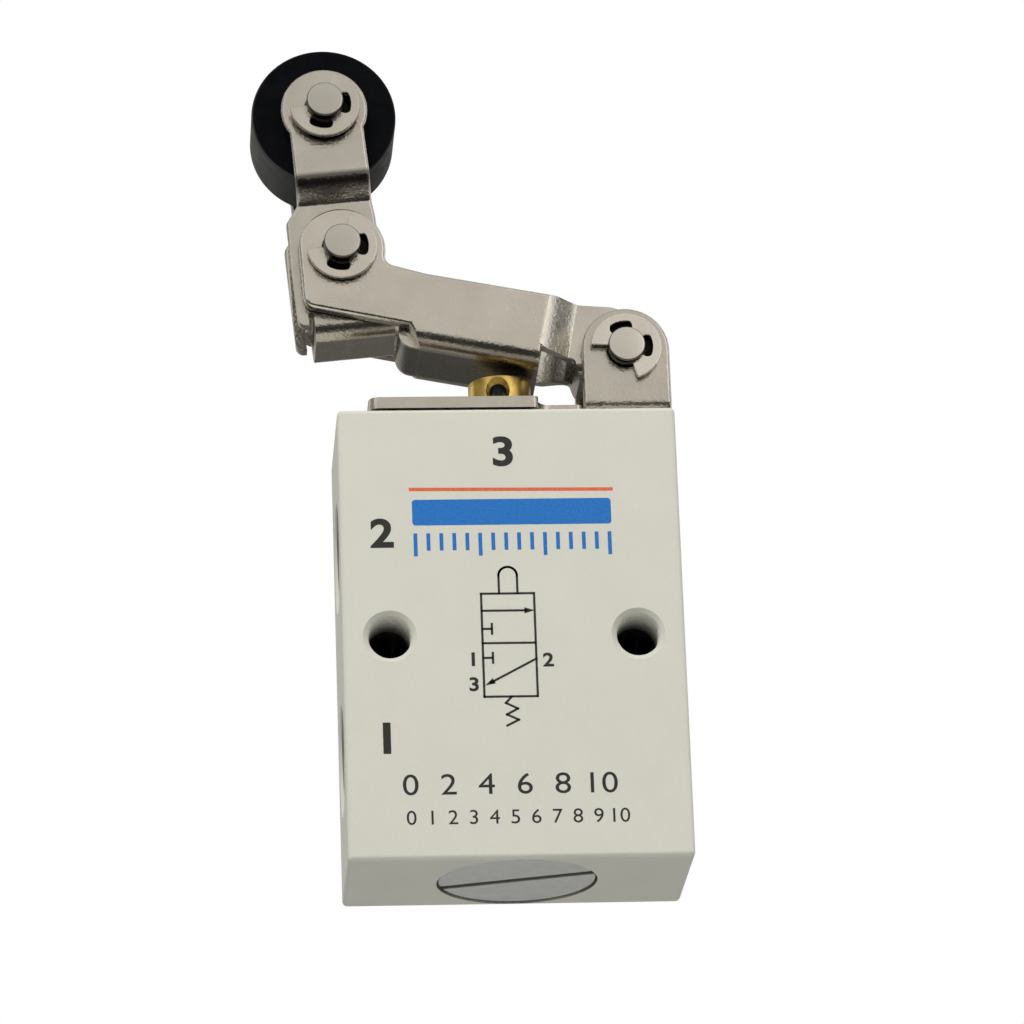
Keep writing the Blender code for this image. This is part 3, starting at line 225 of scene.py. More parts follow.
def arc(centre, radius, start, end, steps):
    turns = [start + (end - start) * i / steps for i in range(steps + 1)]
    return [(centre[0] + radius * math.cos(a), centre[1] + radius * math.sin(a)) for a in turns]


def rounded(corners, steps=8):
    """A closed outline from (a, b, fillet radius) corners."""
    points = []
    for i, (x, y, radius) in enumerate(corners):
        if radius <= 0.0:
            points.append((x, y))
            continue
        here = Vector((x, y))
        before = (Vector(corners[i - 1][:2]) - here).normalized()
        after = (Vector(corners[(i + 1) % len(corners)][:2]) - here).normalized()
        half = before.angle(after) / 2
        centre = here + (before + after).normalized() * (radius / math.sin(half))
        first = here + before * (radius / math.tan(half)) - centre
        last = here + after * (radius / math.tan(half)) - centre
        turn = first.angle_signed(last)
        for k in range(steps + 1):
            points.append(tuple(centre + Matrix.Rotation(-turn * k / steps, 2) @ first))
    return points


print("a quarter arc:", [tuple(round(c, 2) for c in p) for p in arc((0, 0), 1, 0, math.pi / 2, 2)])

# %% [markdown]
# ## Ribbons
#
# Bent sheet has the same thickness everywhere. A Solidify modifier could give it, but it thins out at tight
# bends. Here the middle line is drawn, and both faces are laid off from it. `ease` is a soft step from one
# height to another, as a press tool makes it.

# %% Ribbon and soft step


def ribbon(path, thickness):
    """The outline of a bent sheet whose middle line is path."""
    left, right = [], []
    for i, here in enumerate(path):
        run = Vector(path[min(i + 1, len(path) - 1)]) - Vector(path[max(i - 1, 0)])
        normal = Vector((-run.y, run.x)).normalized() * thickness / 2
        left.append(tuple(Vector(here) + normal))
        right.append(tuple(Vector(here) - normal))
    return left + right[::-1]


def ease(share):
    """A smooth step from 0 to 1."""
    share = min(max(share, 0.0), 1.0)
    return share * share * (3 - 2 * share)


print("a soft step:", [round(ease(i / 4), 2) for i in range(5)])

# %% [markdown]
# ## Plates
#
# A plate could be a cube with its corners pushed about. A circle with as many corners as the outline is
# quicker: its corners are moved onto the outline, and one extrude gives the thickness.

# %% Plate


def plate(name, outline, place, low, high):
    """Extrude an outline; place turns (a, b, depth) into a point."""
    circle = bpy.ops.mesh.primitive_circle_add
    made = add(name, circle, vertices=len(outline), radius=MM, fill_type="NGON")
    for corner, (a, b) in zip(made.data.vertices, outline):
        corner.co = place(a, b, low)
    edit(made)
    bpy.ops.mesh.select_all(action="SELECT")
    rise = place(0.0, 0.0, high) - place(0.0, 0.0, low)
    bpy.ops.mesh.extrude_region_move(TRANSFORM_OT_translate={"value": rise})
    face_outwards(made)
    return made


print("plates:", plate.__name__)

# %% [markdown]
# ## Turned parts
#
# A turned part could be a stack of cylinders and cones. On a real lathe one tool runs along a profile while
# the bar turns, and Spin does the same: the half section goes once round the axis, steps and all.

# %% Lathe


def lathe(name, profile, place, steps=96):
    """Spin a closed (radius, height) profile; place turns (a, b, height) into a point."""
    circle = bpy.ops.mesh.primitive_circle_add
    made = add(name, circle, vertices=len(profile), radius=MM, fill_type="NOTHING")
    for corner, (radius, height) in zip(made.data.vertices, profile):
        corner.co = (radius * MM, 0.0, height * MM)
    edit(made)
    pick(made, lambda e: all(abs(v.co.x) < 1e-7 for v in e.verts), "EDGE")
    bpy.ops.mesh.delete(type="EDGE")
    bpy.ops.mesh.select_all(action="SELECT")
    bpy.ops.mesh.spin(
        steps=steps, angle=2 * math.pi, use_auto_merge=True, center=(0, 0, 0), axis=(0, 0, 1),
    )
    bpy.ops.mesh.select_all(action="SELECT")
    bpy.ops.mesh.remove_doubles(threshold=1e-6)
    bpy.ops.mesh.dissolve_degenerate(threshold=1e-7)
    done()
    for corner in made.data.vertices:
        corner.co = place(*(corner.co / MM))
    face_outwards(made)
    return made


print("turned parts:", lathe.__name__)

# %% [markdown]
# ## Cuts
#
# Holes could be modelled into each face by hand. A Boolean with a drill-shaped cutter takes away what a
# real drill does, also where two bores meet. It is applied at once, and the cutter is thrown away.

# %% Cutter and drill


def cut(piece, tool, operation="DIFFERENCE"):
    """Cut, join or intersect piece with tool, and throw the tool away."""
    step = piece.modifiers.new("cut", "BOOLEAN")
    step.operation = operation
    step.solver = "EXACT"
    step.object = tool
    apply_all(piece)
    bpy.data.objects.remove(tool)
    return piece


def drill(piece, centre, radius, length, turn=(math.pi / 2, 0.0, 0.0)):
    """A plain round hole, front to back unless turned."""
    tool = add(
        "drill", bpy.ops.mesh.primitive_cylinder_add, vertices=72, radius=radius * MM, depth=length * MM,
        location=centre * MM, rotation=turn,
    )
    still(tool)
    return cut(piece, tool)


print("cuts:", cut.__name__, "and", drill.__name__)

# %% [markdown]
# ## Edges
#
# Nothing that is stamped, moulded or turned has a knife edge, and the thin bright line along an edge is
# what makes metal look like metal. A Bevel modifier with a few segments on every sharp edge gives it. On
# stamped sheet the punch also drags the outline round, so there the edit-mode bevel goes first, wider, and
# on the outline only. The corners that a Boolean leaves very close together are merged before either, or
# they would hold the bevel back.

# %% Round the edges
SHARP = 36.0
SHEET_RIM = 0.45
SHEET_EDGE = 0.14


def clean_up(piece):
    """Merge corners that lie on top of each other, and flat faces that lie side by side."""
    edit(piece)
    bpy.ops.mesh.select_all(action="SELECT")
    bpy.ops.mesh.remove_doubles(threshold=2e-5)
    bpy.ops.mesh.dissolve_limited(angle_limit=math.radians(0.3))
    done()


def roll_rim(piece, width=SHEET_RIM, wanted=lambda at: True):
    """Round the outline of a stamped sheet where wanted is true; a place is in millimetres."""

    def is_rim(edge):
        run = (edge.verts[1].co - edge.verts[0].co).normalized()
        sharp = edge.is_manifold and edge.calc_face_angle() > math.radians(SHARP)
        return sharp and abs(run.y) < 0.9 and all(wanted(v.co / MM) for v in edge.verts)

    clean_up(piece)
    edit(piece)
    pick(piece, is_rim, "EDGE")
    bpy.ops.mesh.bevel(offset=width * MM, segments=4, affect="EDGES", clamp_overlap=False)
    done()
    return piece


def soften(piece, width=SHEET_EDGE, sharper_than=SHARP):
    """Bevel the edges that are sharper than an angle, in degrees."""
    clean_up(piece)
    step = piece.modifiers.new("edge", "BEVEL")
    step.width = width * MM
    step.segments = 3
    step.limit_method = "ANGLE"
    step.angle_limit = math.radians(sharper_than)
    apply_all(piece)
    return piece


print("rims are rolled by", SHEET_RIM, "mm and edges broken by", SHEET_EDGE, "mm")

# %% [markdown]
# ## Shading, finish and body
#
# Smooth shading turns a few facets into a round edge, but it would also bend the light on the large flats
# beside it. The Weighted Normal modifier lets the big faces win, so that flats stay flat. Every piece then
# takes its material, and rides on the body that carries it, as a real part is fastened to its neighbour.

# %% Finish a piece


def flatten_shading(piece):
    """Smooth shading that leaves large flats flat."""
    only(piece)
    bpy.ops.object.shade_smooth_by_angle(angle=math.radians(32.0))
    step = piece.modifiers.new("even", "WEIGHTED_NORMAL")
    step.keep_sharp = True
    apply_all(piece)


def finish(piece, body, finish_material, nodes=()):
    """Shade, paint, and tie a piece to the body that it moves with."""
    flatten_shading(piece)
    if not piece.data.materials:
        piece.data.materials.append(finish_material)
    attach(piece, body)
    if nodes:
        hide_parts(*nodes)
    print(piece.name, "has", len(piece.data.polygons), "faces")


# %% [markdown]
# ## Shader nodes
#
# A material is a tree of nodes, wired from left to right. In the window each node is added, set and
# wired by hand. Here one helper does all three, because every finish below is made of the same few kinds.

# %% Add a node


def add_node(tree, kind, inputs=(), **settings):
    """Add a node. inputs maps a socket to a value, or to another node's output, which is then linked."""
    step = tree.nodes.new("ShaderNode" + kind)
    for name, value in settings.items():
        setattr(step, name, value)
    for socket, value in dict(inputs).items():
        if isinstance(value, bpy.types.NodeSocket):
            tree.links.new(value, step.inputs[socket])
        else:
            step.inputs[socket].default_value = value
    return step


print("node helper:", add_node.__name__)

# %% [markdown]
# ## Building blocks for a finish
#
# Every finish starts from Object coordinates: the pattern is tied to the piece and moves with it. `grain`
# is a noise of a given size in millimetres, `rings` are the marks of a lathe, `tint` turns either into a
# colour, `spread` into a value, and `relief` into a slight bump. `away_from`, `level` and `beyond` say where
# on the piece something is, and `over` lays one colour over another there, such as lit metal over painted
# shade.

# %% One finish while it is being made
# The black that stands for painted shade, wherever over lays a colour over it without another.
PAINTED_SHADE = (0.008, 0.007, 0.006)


class Finish:
    """One material while it is being made. Places and sizes are in millimetres."""

    def __init__(self, name, colour, metallic, roughness):
        self.material = bpy.data.materials.new(name)
        self.material.use_nodes = True
        self.material.diffuse_color = (*colour, 1.0)
        self.tree = self.material.node_tree
        self.shader = self.tree.nodes["Principled BSDF"]
        self.shader.inputs["Base Color"].default_value = (*colour, 1.0)
        self.shader.inputs["Metallic"].default_value = metallic
        self.shader.inputs["Roughness"].default_value = roughness
        self.place = self.node("TexCoord").outputs["Object"]

    def node(self, kind, inputs=(), **settings):
        return add_node(self.tree, kind, inputs, **settings)

    def drive(self, socket, output):
        self.tree.links.new(output, self.shader.inputs[socket])

    def spot(self, stretch=(1, 1, 1), turn=(0, 0, 0), centre=(0, 0, 0)):
        """Object coordinates, moved to a centre, turned and stretched."""
        inputs = {
            "Location": [c * MM for c in centre], "Rotation": turn, "Scale": stretch, "Vector": self.place,
        }
        return self.node("Mapping", inputs, vector_type="TEXTURE").outputs["Vector"]

    def coordinate(self, axis, where=None):
        return self.node("SeparateXYZ", {"Vector": where or self.place}).outputs[axis]

    def grain(self, size, detail=3.0, where=None):
        """Noise whose blotches are about as wide as size."""
        where = where or self.place
        inputs = {"Scale": 1.0 / (size * MM), "Detail": detail, "Roughness": 0.55, "Vector": where}
        return self.node("TexNoise", inputs).outputs["Fac"]

    def rings(self, size, centre, turn=(0, 0, 0)):
        """Fine circles round a line through centre, upright unless turned."""
        inputs = {
            "Scale": 1.0 / (size * MM) / 3.2, "Distortion": 1.5, "Detail": 2.0, "Detail Scale": 1.5,
            "Vector": self.spot(turn=turn, centre=centre),
        }
        return self.node("TexWave", inputs, wave_type="RINGS", rings_direction="Z").outputs["Fac"]

    def spread(self, amount, low, high, start=0.3, end=0.7):
        """A value that goes from low to high as amount goes from start to end."""
        inputs = {"From Min": start, "From Max": end, "To Min": low, "To Max": high, "Value": amount}
        return self.node("MapRange", inputs).outputs["Result"]

    def tint(self, amount, first, second, start=0.3, end=0.7):
        """A colour that goes from first to second as amount goes from start to end."""
        step = self.node("ValToRGB", {"Fac": amount})
        for stop, position, colour in zip(step.color_ramp.elements, (start, end), (first, second)):
            stop.position = position
            stop.color = (*colour, 1.0)
        return step.outputs["Color"]

    def away_from(self, centre, inner, outer, turn=(0, 0, 0)):
        """0 within inner of a line that runs from front to back through centre, 1 from outer on."""
        where = self.spot(turn=turn, centre=centre)
        flat = self.node("VectorMath", {0: where, 1: (1.0, 0.0, 1.0)}, operation="MULTIPLY")
        reach = self.node("VectorMath", {0: flat.outputs["Vector"]}, operation="LENGTH")
        return self.spread(reach.outputs["Value"], 0.0, 1.0, inner * MM, outer * MM)

    def level(self, centre, right, low, high):
        """Height above centre, square to the direction right, as 0 at low and 1 at high."""
        turn = (0.0, -math.atan2(right.z, right.x), 0.0)
        height = self.coordinate("Z", self.spot(turn=turn, centre=centre))
        return self.spread(height, 0.0, 1.0, low * MM, high * MM)

    def beyond(self, edge, way):
        """1 where Y lies beyond an edge, counted towards way, and 0 before it."""
        return self.spread(self.coordinate("Y"), 0.0, 1.0, edge * MM, (edge + 0.5 * way) * MM)

    def larger(self, first, second):
        return self.node("Math", {0: first, 1: second}, operation="MAXIMUM").outputs["Value"]

    def over(self, share, colour, under=(*PAINTED_SHADE, 1.0)):
        """Lay a colour over another: all of it where share is 1, none where it is 0."""
        inputs = {"A": under, "Factor": share, "B": colour}
        return self.node("Mix", inputs, data_type="RGBA").outputs["Result"]

    def relief(self, *layers):
        """Stack bumps; a layer is (height, strength, depth)."""
        below = {}
        for height, strength, depth in layers:
            inputs = {"Strength": strength, "Distance": depth * MM, "Height": height, **below}
            below = {"Normal": self.node("Bump", inputs).outputs["Normal"]}
        self.drive("Normal", below["Normal"])


FRONT_TO_BACK = (math.pi / 2, 0.0, 0.0)
print("building blocks:", ", ".join(name for name in vars(Finish) if not name.startswith("_")))

# %% [markdown]
# ## Paint
#
# The block is aluminium under a warm off-white stoving paint. Such paint has a fine orange-peel texture
# and slight clouds in its tone. One flat colour would look like plastic, so two sizes of noise go into the
# bump and the tint.

# %% Paint


def make_paint():
    paint = Finish("body_paint", (0.624, 0.617, 0.533), 0.0, 0.45)
    dust_and_rim_light = paint.grain(0.35, 2.0)
    clouds = paint.tint(paint.grain(7.0), (0.610, 0.603, 0.520), (0.640, 0.632, 0.547))
    fleck = paint.tint(dust_and_rim_light, (0.595, 0.588, 0.505), (0.652, 0.645, 0.560), 0.25, 0.75)
    paint.drive("Base Color", paint.over(0.4, fleck, clouds))
    paint.drive("Roughness", paint.spread(dust_and_rim_light, 0.42, 0.56))
    paint.shader.inputs["Specular IOR Level"].default_value = 0.35
    paint.relief((paint.grain(0.5, 2.0), 0.25, 0.02), (paint.grain(0.12, 1.0), 0.12, 0.01))
    return paint.material


PAINT = make_paint()
print("paint:", PAINT.name)

# %% [markdown]
# ## Bare metal
#
# Inside the holes the paint ends and dull machined metal shows. The threads of the mounting holes carry
# painted shade: bright at their mouth, and black further in. A lamp could not do that in so narrow a hole,
# so the depth steers the colour.

# %% Machined bores and threads


def make_bore_metal():
    bore = Finish("machined_bore", (0.36, 0.35, 0.32), 0.85, 0.42)
    marks = bore.grain(0.4, where=bore.spot(stretch=(1.0, 1.0, 0.3)))
    bore.drive("Base Color", bore.tint(marks, (0.26, 0.25, 0.22), (0.44, 0.43, 0.39)))
    bore.drive("Roughness", bore.spread(marks, 0.34, 0.55))
    bore.relief((marks, 0.2, 0.02))
    return bore.material


def make_thread_metal():
    """Painted light on the first turns of the thread, painted shade further in."""
    thread = Finish("thread_metal", (0.60, 0.59, 0.53), 0.1, 0.45)
    marks = thread.grain(0.4)
    bright = thread.tint(marks, (0.55, 0.54, 0.48), (0.68, 0.67, 0.60))
    # Painted shade: the thread is bright near the hole's mouth and fades to black deeper in.
    mouth = thread.spread(thread.coordinate("Y"), 1.0, 0.0, -17.5 * MM, -13.5 * MM)
    thread.drive("Base Color", thread.over(mouth, bright))
    thread.drive("Roughness", thread.spread(marks, 0.38, 0.55))
    thread.relief((marks, 0.2, 0.02))
    return thread.material


BORE_METAL = make_bore_metal()
THREAD_METAL = make_thread_metal()
print("bare metal:", BORE_METAL.name, THREAD_METAL.name)

# %% [markdown]
# ## Nickel plate
#
# The lever, arm and bracket are steel sheet with a bright, slightly warm nickel plate. Tumbling in a
# barrel leaves a fine speckle that breaks up the edges of reflections, and soft clouds. An image could
# show that, but noise in the bump keeps its scale on every piece. Shade is painted black round the pins
# under their clips and darker in the middle of the lever's channel, and a dark reflection is painted
# across the step of the arm.

# %% Plated sheet
PLATE_DARK, PLATE_LIGHT = (0.57, 0.535, 0.47), (0.65, 0.615, 0.545)
MOUTH_SHIFT = 2.2


def shaded(colour, shade):
    return tuple(shade * c for c in colour)


def make_nickel(name, shade=1.0, pin=None, mouth=0.0, dull=None, dark_reflection_band=None):
    """Plated sheet. Round a pin and under its clip it is painted black as shade, but not in the clip's mouth.

    dull is a range across the piece, in millimetres from the block's middle, where the plate is painted
    darker, as shade.
    dark_reflection_band is a range of heights on the arm where a dark reflection is painted on the plate.
    """
    dark, light = shaded(PLATE_DARK, shade), shaded(PLATE_LIGHT, shade)
    nickel = Finish(name, light, 1.0, 0.26)
    plate_colour = nickel.tint(nickel.grain(5.0), dark, light)
    # Painted shade: black round the pin and under its clip, while the clip's mouth and the faces further back
    # keep their colour.
    if pin:
        turn = math.radians(mouth)
        aside = pin - MOUTH_SHIFT * Vector((math.cos(turn), 0.0, math.sin(turn)))
        behind = nickel.beyond(MIDDLE - 3.0, 1)
        unshaded = nickel.larger(nickel.away_from(pin, 3.95, 4.15), nickel.away_from(aside, 3.6, 3.8))
        plate_colour = nickel.over(nickel.larger(unshaded, behind), plate_colour)
        near_pin = nickel.away_from(pin, 2.3, 2.5)
        plate_colour = nickel.over(nickel.larger(near_pin, behind), plate_colour)
    # Painted shade: the middle of the piece's width, inside the lever's channel and under its web, is darker.
    if dull:
        front, rear = dull
        outside = nickel.larger(nickel.beyond(MIDDLE + front, -1), nickel.beyond(MIDDLE + rear, 1))
        plate_colour = nickel.over(nickel.spread(outside, 0.40, 1.0, 0.0, 1.0), plate_colour)
    # Painted reflection: a dark band across the step of the arm.
    if dark_reflection_band:
        low, high = dark_reflection_band
        above = nickel.level(ARM_PIN, ARM_RIGHT, high - 0.5, high)
        below = nickel.level(ARM_PIN, ARM_RIGHT, low + 1.4, low)
        unshaded = nickel.spread(nickel.larger(above, below), 0.25, 1.0, 0.0, 1.0)
        plate_colour = nickel.over(unshaded, plate_colour)
    nickel.drive("Base Color", plate_colour)
    nickel.drive("Roughness", nickel.spread(nickel.grain(1.6), 0.21, 0.29))
    nickel.relief((nickel.grain(0.38, 1.0), 0.5, 0.08))
    return nickel.material


MOUTHS = {"lever": 232, "arm": 131, "axle": 131}
# The shade factors give lighter and darker copies of one nickel plate: painted light and shade, for how much
# light each part catches.
BRACKET_NICKEL = make_nickel("bracket_nickel", 0.93, LEVER_PIN, MOUTHS["lever"])
LEVER_NICKEL = make_nickel("lever_nickel", 1.0, ARM_PIN, MOUTHS["arm"], dull=(-4.0, 4.0))
ARM_NICKEL = make_nickel("arm_nickel", 0.90, AXLE, MOUTHS["axle"], dark_reflection_band=(7.4, 10.2))
# The three clips are one part: their shade factors paint more light on the lever's clip and less on the
# axle's.
CLIP_SHADES = {"lever": 1.22, "arm": 1.06, "axle": 0.96}
CLIP_METAL = {held: make_nickel(held + "_clip_nickel", shade) for held, shade in CLIP_SHADES.items()}
print("plated sheet:", BRACKET_NICKEL.name, LEVER_NICKEL.name, ARM_NICKEL.name)

# %% [markdown]
# ## Pins
#
# The pins come off a lathe. A cut across a bar's end leaves circles that are finer than the eye can count,
# so they only give a faint tint. Noise alone would look cast. The pin's side lies in the shade of its clip,
# and that shade is painted on as a dark colour.

# %% Turned pins
PIN_DARK, PIN_LIGHT = (0.64, 0.61, 0.54), (0.67, 0.64, 0.57)
PIN_SIDE_SHADE = (0.03, 0.028, 0.024, 1.0)


def make_turned(name, shade, centre):
    """A turned pin: a bright flat end with fine circles, and a side painted dark as shade."""
    dark, light = shaded(PIN_DARK, shade), shaded(PIN_LIGHT, shade)
    metal = Finish(name, dark, 1.0, 0.3)
    end = metal.tint(metal.rings(0.35, centre, FRONT_TO_BACK), dark, light)
    # Painted shade: the side of the pin's front part is dark, while its end face and its back keep their
    # colour.
    unshaded = metal.larger(metal.away_from(centre, 2.18, 2.02), metal.beyond(MIDDLE - 5.0, 1))
    metal.drive("Base Color", metal.over(unshaded, end, PIN_SIDE_SHADE))
    metal.drive("Roughness", metal.spread(metal.grain(0.8), 0.26, 0.36))
    metal.relief((metal.grain(0.5, 2.0), 0.1, 0.02))
    return metal.material


# The pins are one metal: the arm's and the axle's copies are made darker, as painted shade.
PIN_METAL = {
    "lever": make_turned("lever_pin_metal", 1.0, LEVER_PIN),
    "arm": make_turned("arm_pin_metal", 0.85, ARM_PIN),
    "axle": make_turned("axle_metal", 0.80, AXLE),
}
print("pins:", ", ".join(metal.name for metal in PIN_METAL.values()))

# %% [markdown]
# ## Brass
#
# The rod is turned brass, browner where hands and oil have been. The wall of the small hole across it is
# painted black, as the shade inside the hole. It could be given a material of its own, but here its
# distance from the hole's axis picks it, so no face has to be selected.

# %% Brass
CROSS_HOLE = 32.91
CROSS_TURN = math.radians(-7.0)


def make_brass():
    """The rod. The wall of its cross hole is painted black as shade."""
    brass = Finish("brass", (0.50, 0.35, 0.10), 1.0, 0.24)
    colour = brass.tint(brass.grain(1.2), (0.55, 0.37, 0.09), (0.82, 0.59, 0.18))
    # Painted shade: the wall of the cross hole is black.
    wall = brass.away_from((0, MIDDLE, CROSS_HOLE), 0.97, 1.05, turn=(0, 0, CROSS_TURN))
    brass.drive("Base Color", brass.over(wall, colour))
    brass.drive("Roughness", brass.spread(brass.rings(0.30, (0, MIDDLE, 0)), 0.20, 0.30))
    brass.relief((brass.grain(0.3), 0.2, 0.02))
    return brass.material


BRASS = make_brass()
print("brass:", BRASS.name, "cross hole at", CROSS_HOLE, "mm")

# %% [markdown]
# ## Aluminium
#
# The plug, the sleeve and the poppet's cup are turned from aluminium, left as it is. It is duller than
# steel, because a thin oxide covers it, so it is only half metallic here. The floor and the walls of the
# plug's slot are painted darker, as the shade in the slot, and their height picks them out.

# %% Aluminium
SLOT_SHADE = (0.25, 0.25, 0.23, 1.0)
SLOT_BLUR = 0.15


def make_aluminium(name, slot=None):
    """Turned aluminium with the circles of its facing cut; slot is a range of heights that is painted darker,
    as shade.
    """
    plug = Finish(name, (0.78, 0.78, 0.76), 0.5, 0.40)
    colour = plug.tint(plug.grain(1.5), (0.71, 0.73, 0.69), (0.79, 0.81, 0.77))
    # Painted shade: the floor and the walls of the slot, above the plug's face, are darker.
    if slot:
        height = plug.coordinate("Z")
        low, high = slot
        below = plug.spread(height, 1, 0, low * MM, (low + SLOT_BLUR) * MM)
        above = plug.spread(height, 0, 1, high * MM, (high + SLOT_BLUR) * MM)
        colour = plug.over(plug.larger(below, above), colour, SLOT_SHADE)
    plug.drive("Base Color", colour)
    plug.drive("Roughness", plug.spread(plug.rings(0.40, (0, MIDDLE, 0)), 0.32, 0.44))
    plug.relief((plug.grain(0.35), 0.2, 0.02))
    return plug.material


ALUMINIUM = make_aluminium("turned_aluminium")
PLUG_METAL = make_aluminium("plug_aluminium", slot=(-26.78, -25.38))
print("aluminium:", ALUMINIUM.name, PLUG_METAL.name)

# %% [markdown]
# ## Spring steel
#
# Springs are cold-drawn wire, oiled and a little uneven in tone. Scratches along the wire would need its
# own coordinates. At this size a fine noise looks the same.

# %% Spring steel


def make_spring_steel():
    steel = Finish("spring_steel", (0.50, 0.49, 0.46), 1.0, 0.32)
    grain = steel.grain(0.25)
    steel.drive("Base Color", steel.tint(steel.grain(1.2, 2.0), (0.40, 0.39, 0.36), (0.56, 0.55, 0.52)))
    steel.drive("Roughness", steel.spread(grain, 0.26, 0.42))
    steel.relief((grain, 0.15, 0.008))
    return steel.material


SPRING_STEEL = make_spring_steel()
print("spring steel:", SPRING_STEEL.name)

# %% [markdown]
# ## Plastic and rubber
#
# The roller is moulded in a plastic that is nearly black but not quite: a faint sheen along its rim shows
# very fine circles and wear. A plain black would swallow them, so the rim has a paler, worn colour of its
# own, picked by its distance from the axle, and it is painted lighter towards its lower left, as light
# falling from that side. The seals are matt black rubber with a trace of dust.

# %% Roller plastic and seal rubber


def make_plastic():
    plastic = Finish("roller_plastic", (0.002, 0.0023, 0.0032), 0.0, 0.36)
    scuff = plastic.grain(1.4, 4.0)
    face = plastic.tint(scuff, (0.0012, 0.0014, 0.0022), (0.0030, 0.0034, 0.0042))
    # Painted light: the rim is paler towards its lower left, as if lit from that side, and darker further
    # round.
    lit_side = AXLE + Vector((-9.0, 0.0, -4.0))
    dust_and_rim_light = plastic.away_from(lit_side, 4.0, 15.0)
    wear_and_rim_light = plastic.tint(dust_and_rim_light, (0.060, 0.061, 0.056), (0.013, 0.014, 0.013), 0, 1)
    plastic.drive("Base Color", plastic.over(plastic.away_from(AXLE, 8.66, 8.50), face, wear_and_rim_light))
    plastic.drive("Roughness", plastic.spread(scuff, 0.32, 0.48))
    plastic.shader.inputs["Specular IOR Level"].default_value = 0.04
    circles = plastic.rings(0.45, AXLE, FRONT_TO_BACK)
    plastic.relief((circles, 0.06, 0.01), (plastic.grain(0.4, 2.0), 0.12, 0.02))
    return plastic.material


def make_rubber():
    rubber = Finish("seal_rubber", (0.02, 0.02, 0.02), 0.0, 0.6)
    dust_and_rim_light = rubber.grain(0.5, 4.0)
    rubber.drive("Base Color", rubber.tint(dust_and_rim_light, (0.014, 0.014, 0.015), (0.035, 0.034, 0.033)))
    rubber.drive("Roughness", rubber.spread(dust_and_rim_light, 0.5, 0.72))
    rubber.relief((dust_and_rim_light, 0.2, 0.02))
    return rubber.material


PLASTIC = make_plastic()
RUBBER = make_rubber()
print("dark finishes:", PLASTIC.name, RUBBER.name)

# %% [markdown]
# ## The block
#
# The block is sawn from bar, milled, drilled and painted. It starts as a cube at its real size. Its edges
# get a small round first, and the holes come after, so that their mouths keep a crisp machined chamfer.

# %% The block with rounded edges


def make_block():
    size = Vector((BLOCK_WIDTH, BLOCK_DEPTH, BLOCK_TOP - BLOCK_BOTTOM))
    middle = Vector((0.0, MIDDLE, (BLOCK_TOP + BLOCK_BOTTOM) / 2))
    cube = bpy.ops.mesh.primitive_cube_add
    made = add("painted_block", cube, size=1.0, location=middle * MM, scale=size * MM)
    still(made)
    edit(made)
    bpy.ops.mesh.select_mode(type="EDGE")
    bpy.ops.mesh.select_all(action="SELECT")
    bpy.ops.mesh.bevel(offset=0.6 * MM, segments=5, affect="EDGES")
    done()
    return made


block = make_block()
print("block:", len(block.data.polygons), "faces")

# %% [markdown]
# ## Threads
#
# A screw thread is one groove that climbs as it goes round. A flat grid is rolled into a tube, and its
# radius goes up and down with height plus turn, which gives the helix. With both ends closed the tube is
# a cutter, the same shape as the tap that cuts the real thread.

# %% A tap as a cutter


def tap(name, place, crest, root, pitch, low, high, steps=64, per_pitch=8):
    """A thread as a solid; crest and root are the radii of the hole and of the thread's bottom."""
    rows = round((high - low) / pitch * per_pitch)
    grid = bpy.ops.mesh.primitive_grid_add
    made = add(name, grid, x_subdivisions=steps, y_subdivisions=rows, size=1.0)
    for corner in made.data.vertices:
        turn = corner.co.x + 0.5
        height = low + (corner.co.y + 0.5) * (high - low)
        phase = (height / pitch + turn) % 1.0
        climb = min(max(1.5 - 3.0 * abs(phase - 0.5) * 1.1, 0.0), 1.0)
        radius = crest + (root - crest) * climb
        angle = 2 * math.pi * turn
        corner.co = place(radius * math.cos(angle), radius * math.sin(angle), height)
    edit(made)
    bpy.ops.mesh.select_all(action="SELECT")
    bpy.ops.mesh.remove_doubles(threshold=1e-6)
    bpy.ops.mesh.select_all(action="DESELECT")
    bpy.ops.mesh.select_mode(type="EDGE")
    bpy.ops.mesh.select_non_manifold()
    bpy.ops.mesh.edge_face_add()
    face_outwards(made)
    return made


print("thread cutter:", tap.__name__)

# %% [markdown]
# ## Bores
#
# The block is drilled through from below in steps: the plug's seat, the supply bore, the outlet chamber and
# the guide of the rod. Two pipe ports enter from the left, each with a chamfer, a thread and the cone that
# a drill leaves. Two threaded holes run right through for the screws that hold the valve.

# %% Stepped bore, ports and mounting holes
STEPPED_BORE = [
    (0, -28.0), (9.4, -28.0), (9.4, -23.95), (7.0, -23.95), (7.0, -1.0), (5.4, -1.0), (5.4, 18.5),
    (3.9, 18.5), (3.9, 22.5), (5.2, 22.5), (5.2, 24.3), (3.9, 24.3), (3.9, 29.2), (0, 29.2),
]
PORT = [(0, -1.0), (7.6, -1.0), (5.7, 0.9), (5.7, 11.0), (2.4, 12.98), (2.4, 17.3), (0, 17.3)]
PORT_HEIGHTS = {"supply": -12.0, "outlet": 13.0}
MOUNT_HOLE = [(0, -11.0), (4.15, -11.0), (2.45, -9.3), (2.45, 9.3), (4.15, 11.0), (0, 11.0)]
PORT_THREAD = {"crest": 5.72, "root": 6.5, "pitch": 1.34, "low": -0.4, "high": 9.2}
MOUNT_THREAD = {"crest": 2.47, "root": 2.78, "pitch": 0.8, "low": -9.5, "high": 9.5, "steps": 48}
MOUNT_X = 14.5
SCREW_X = 11.5

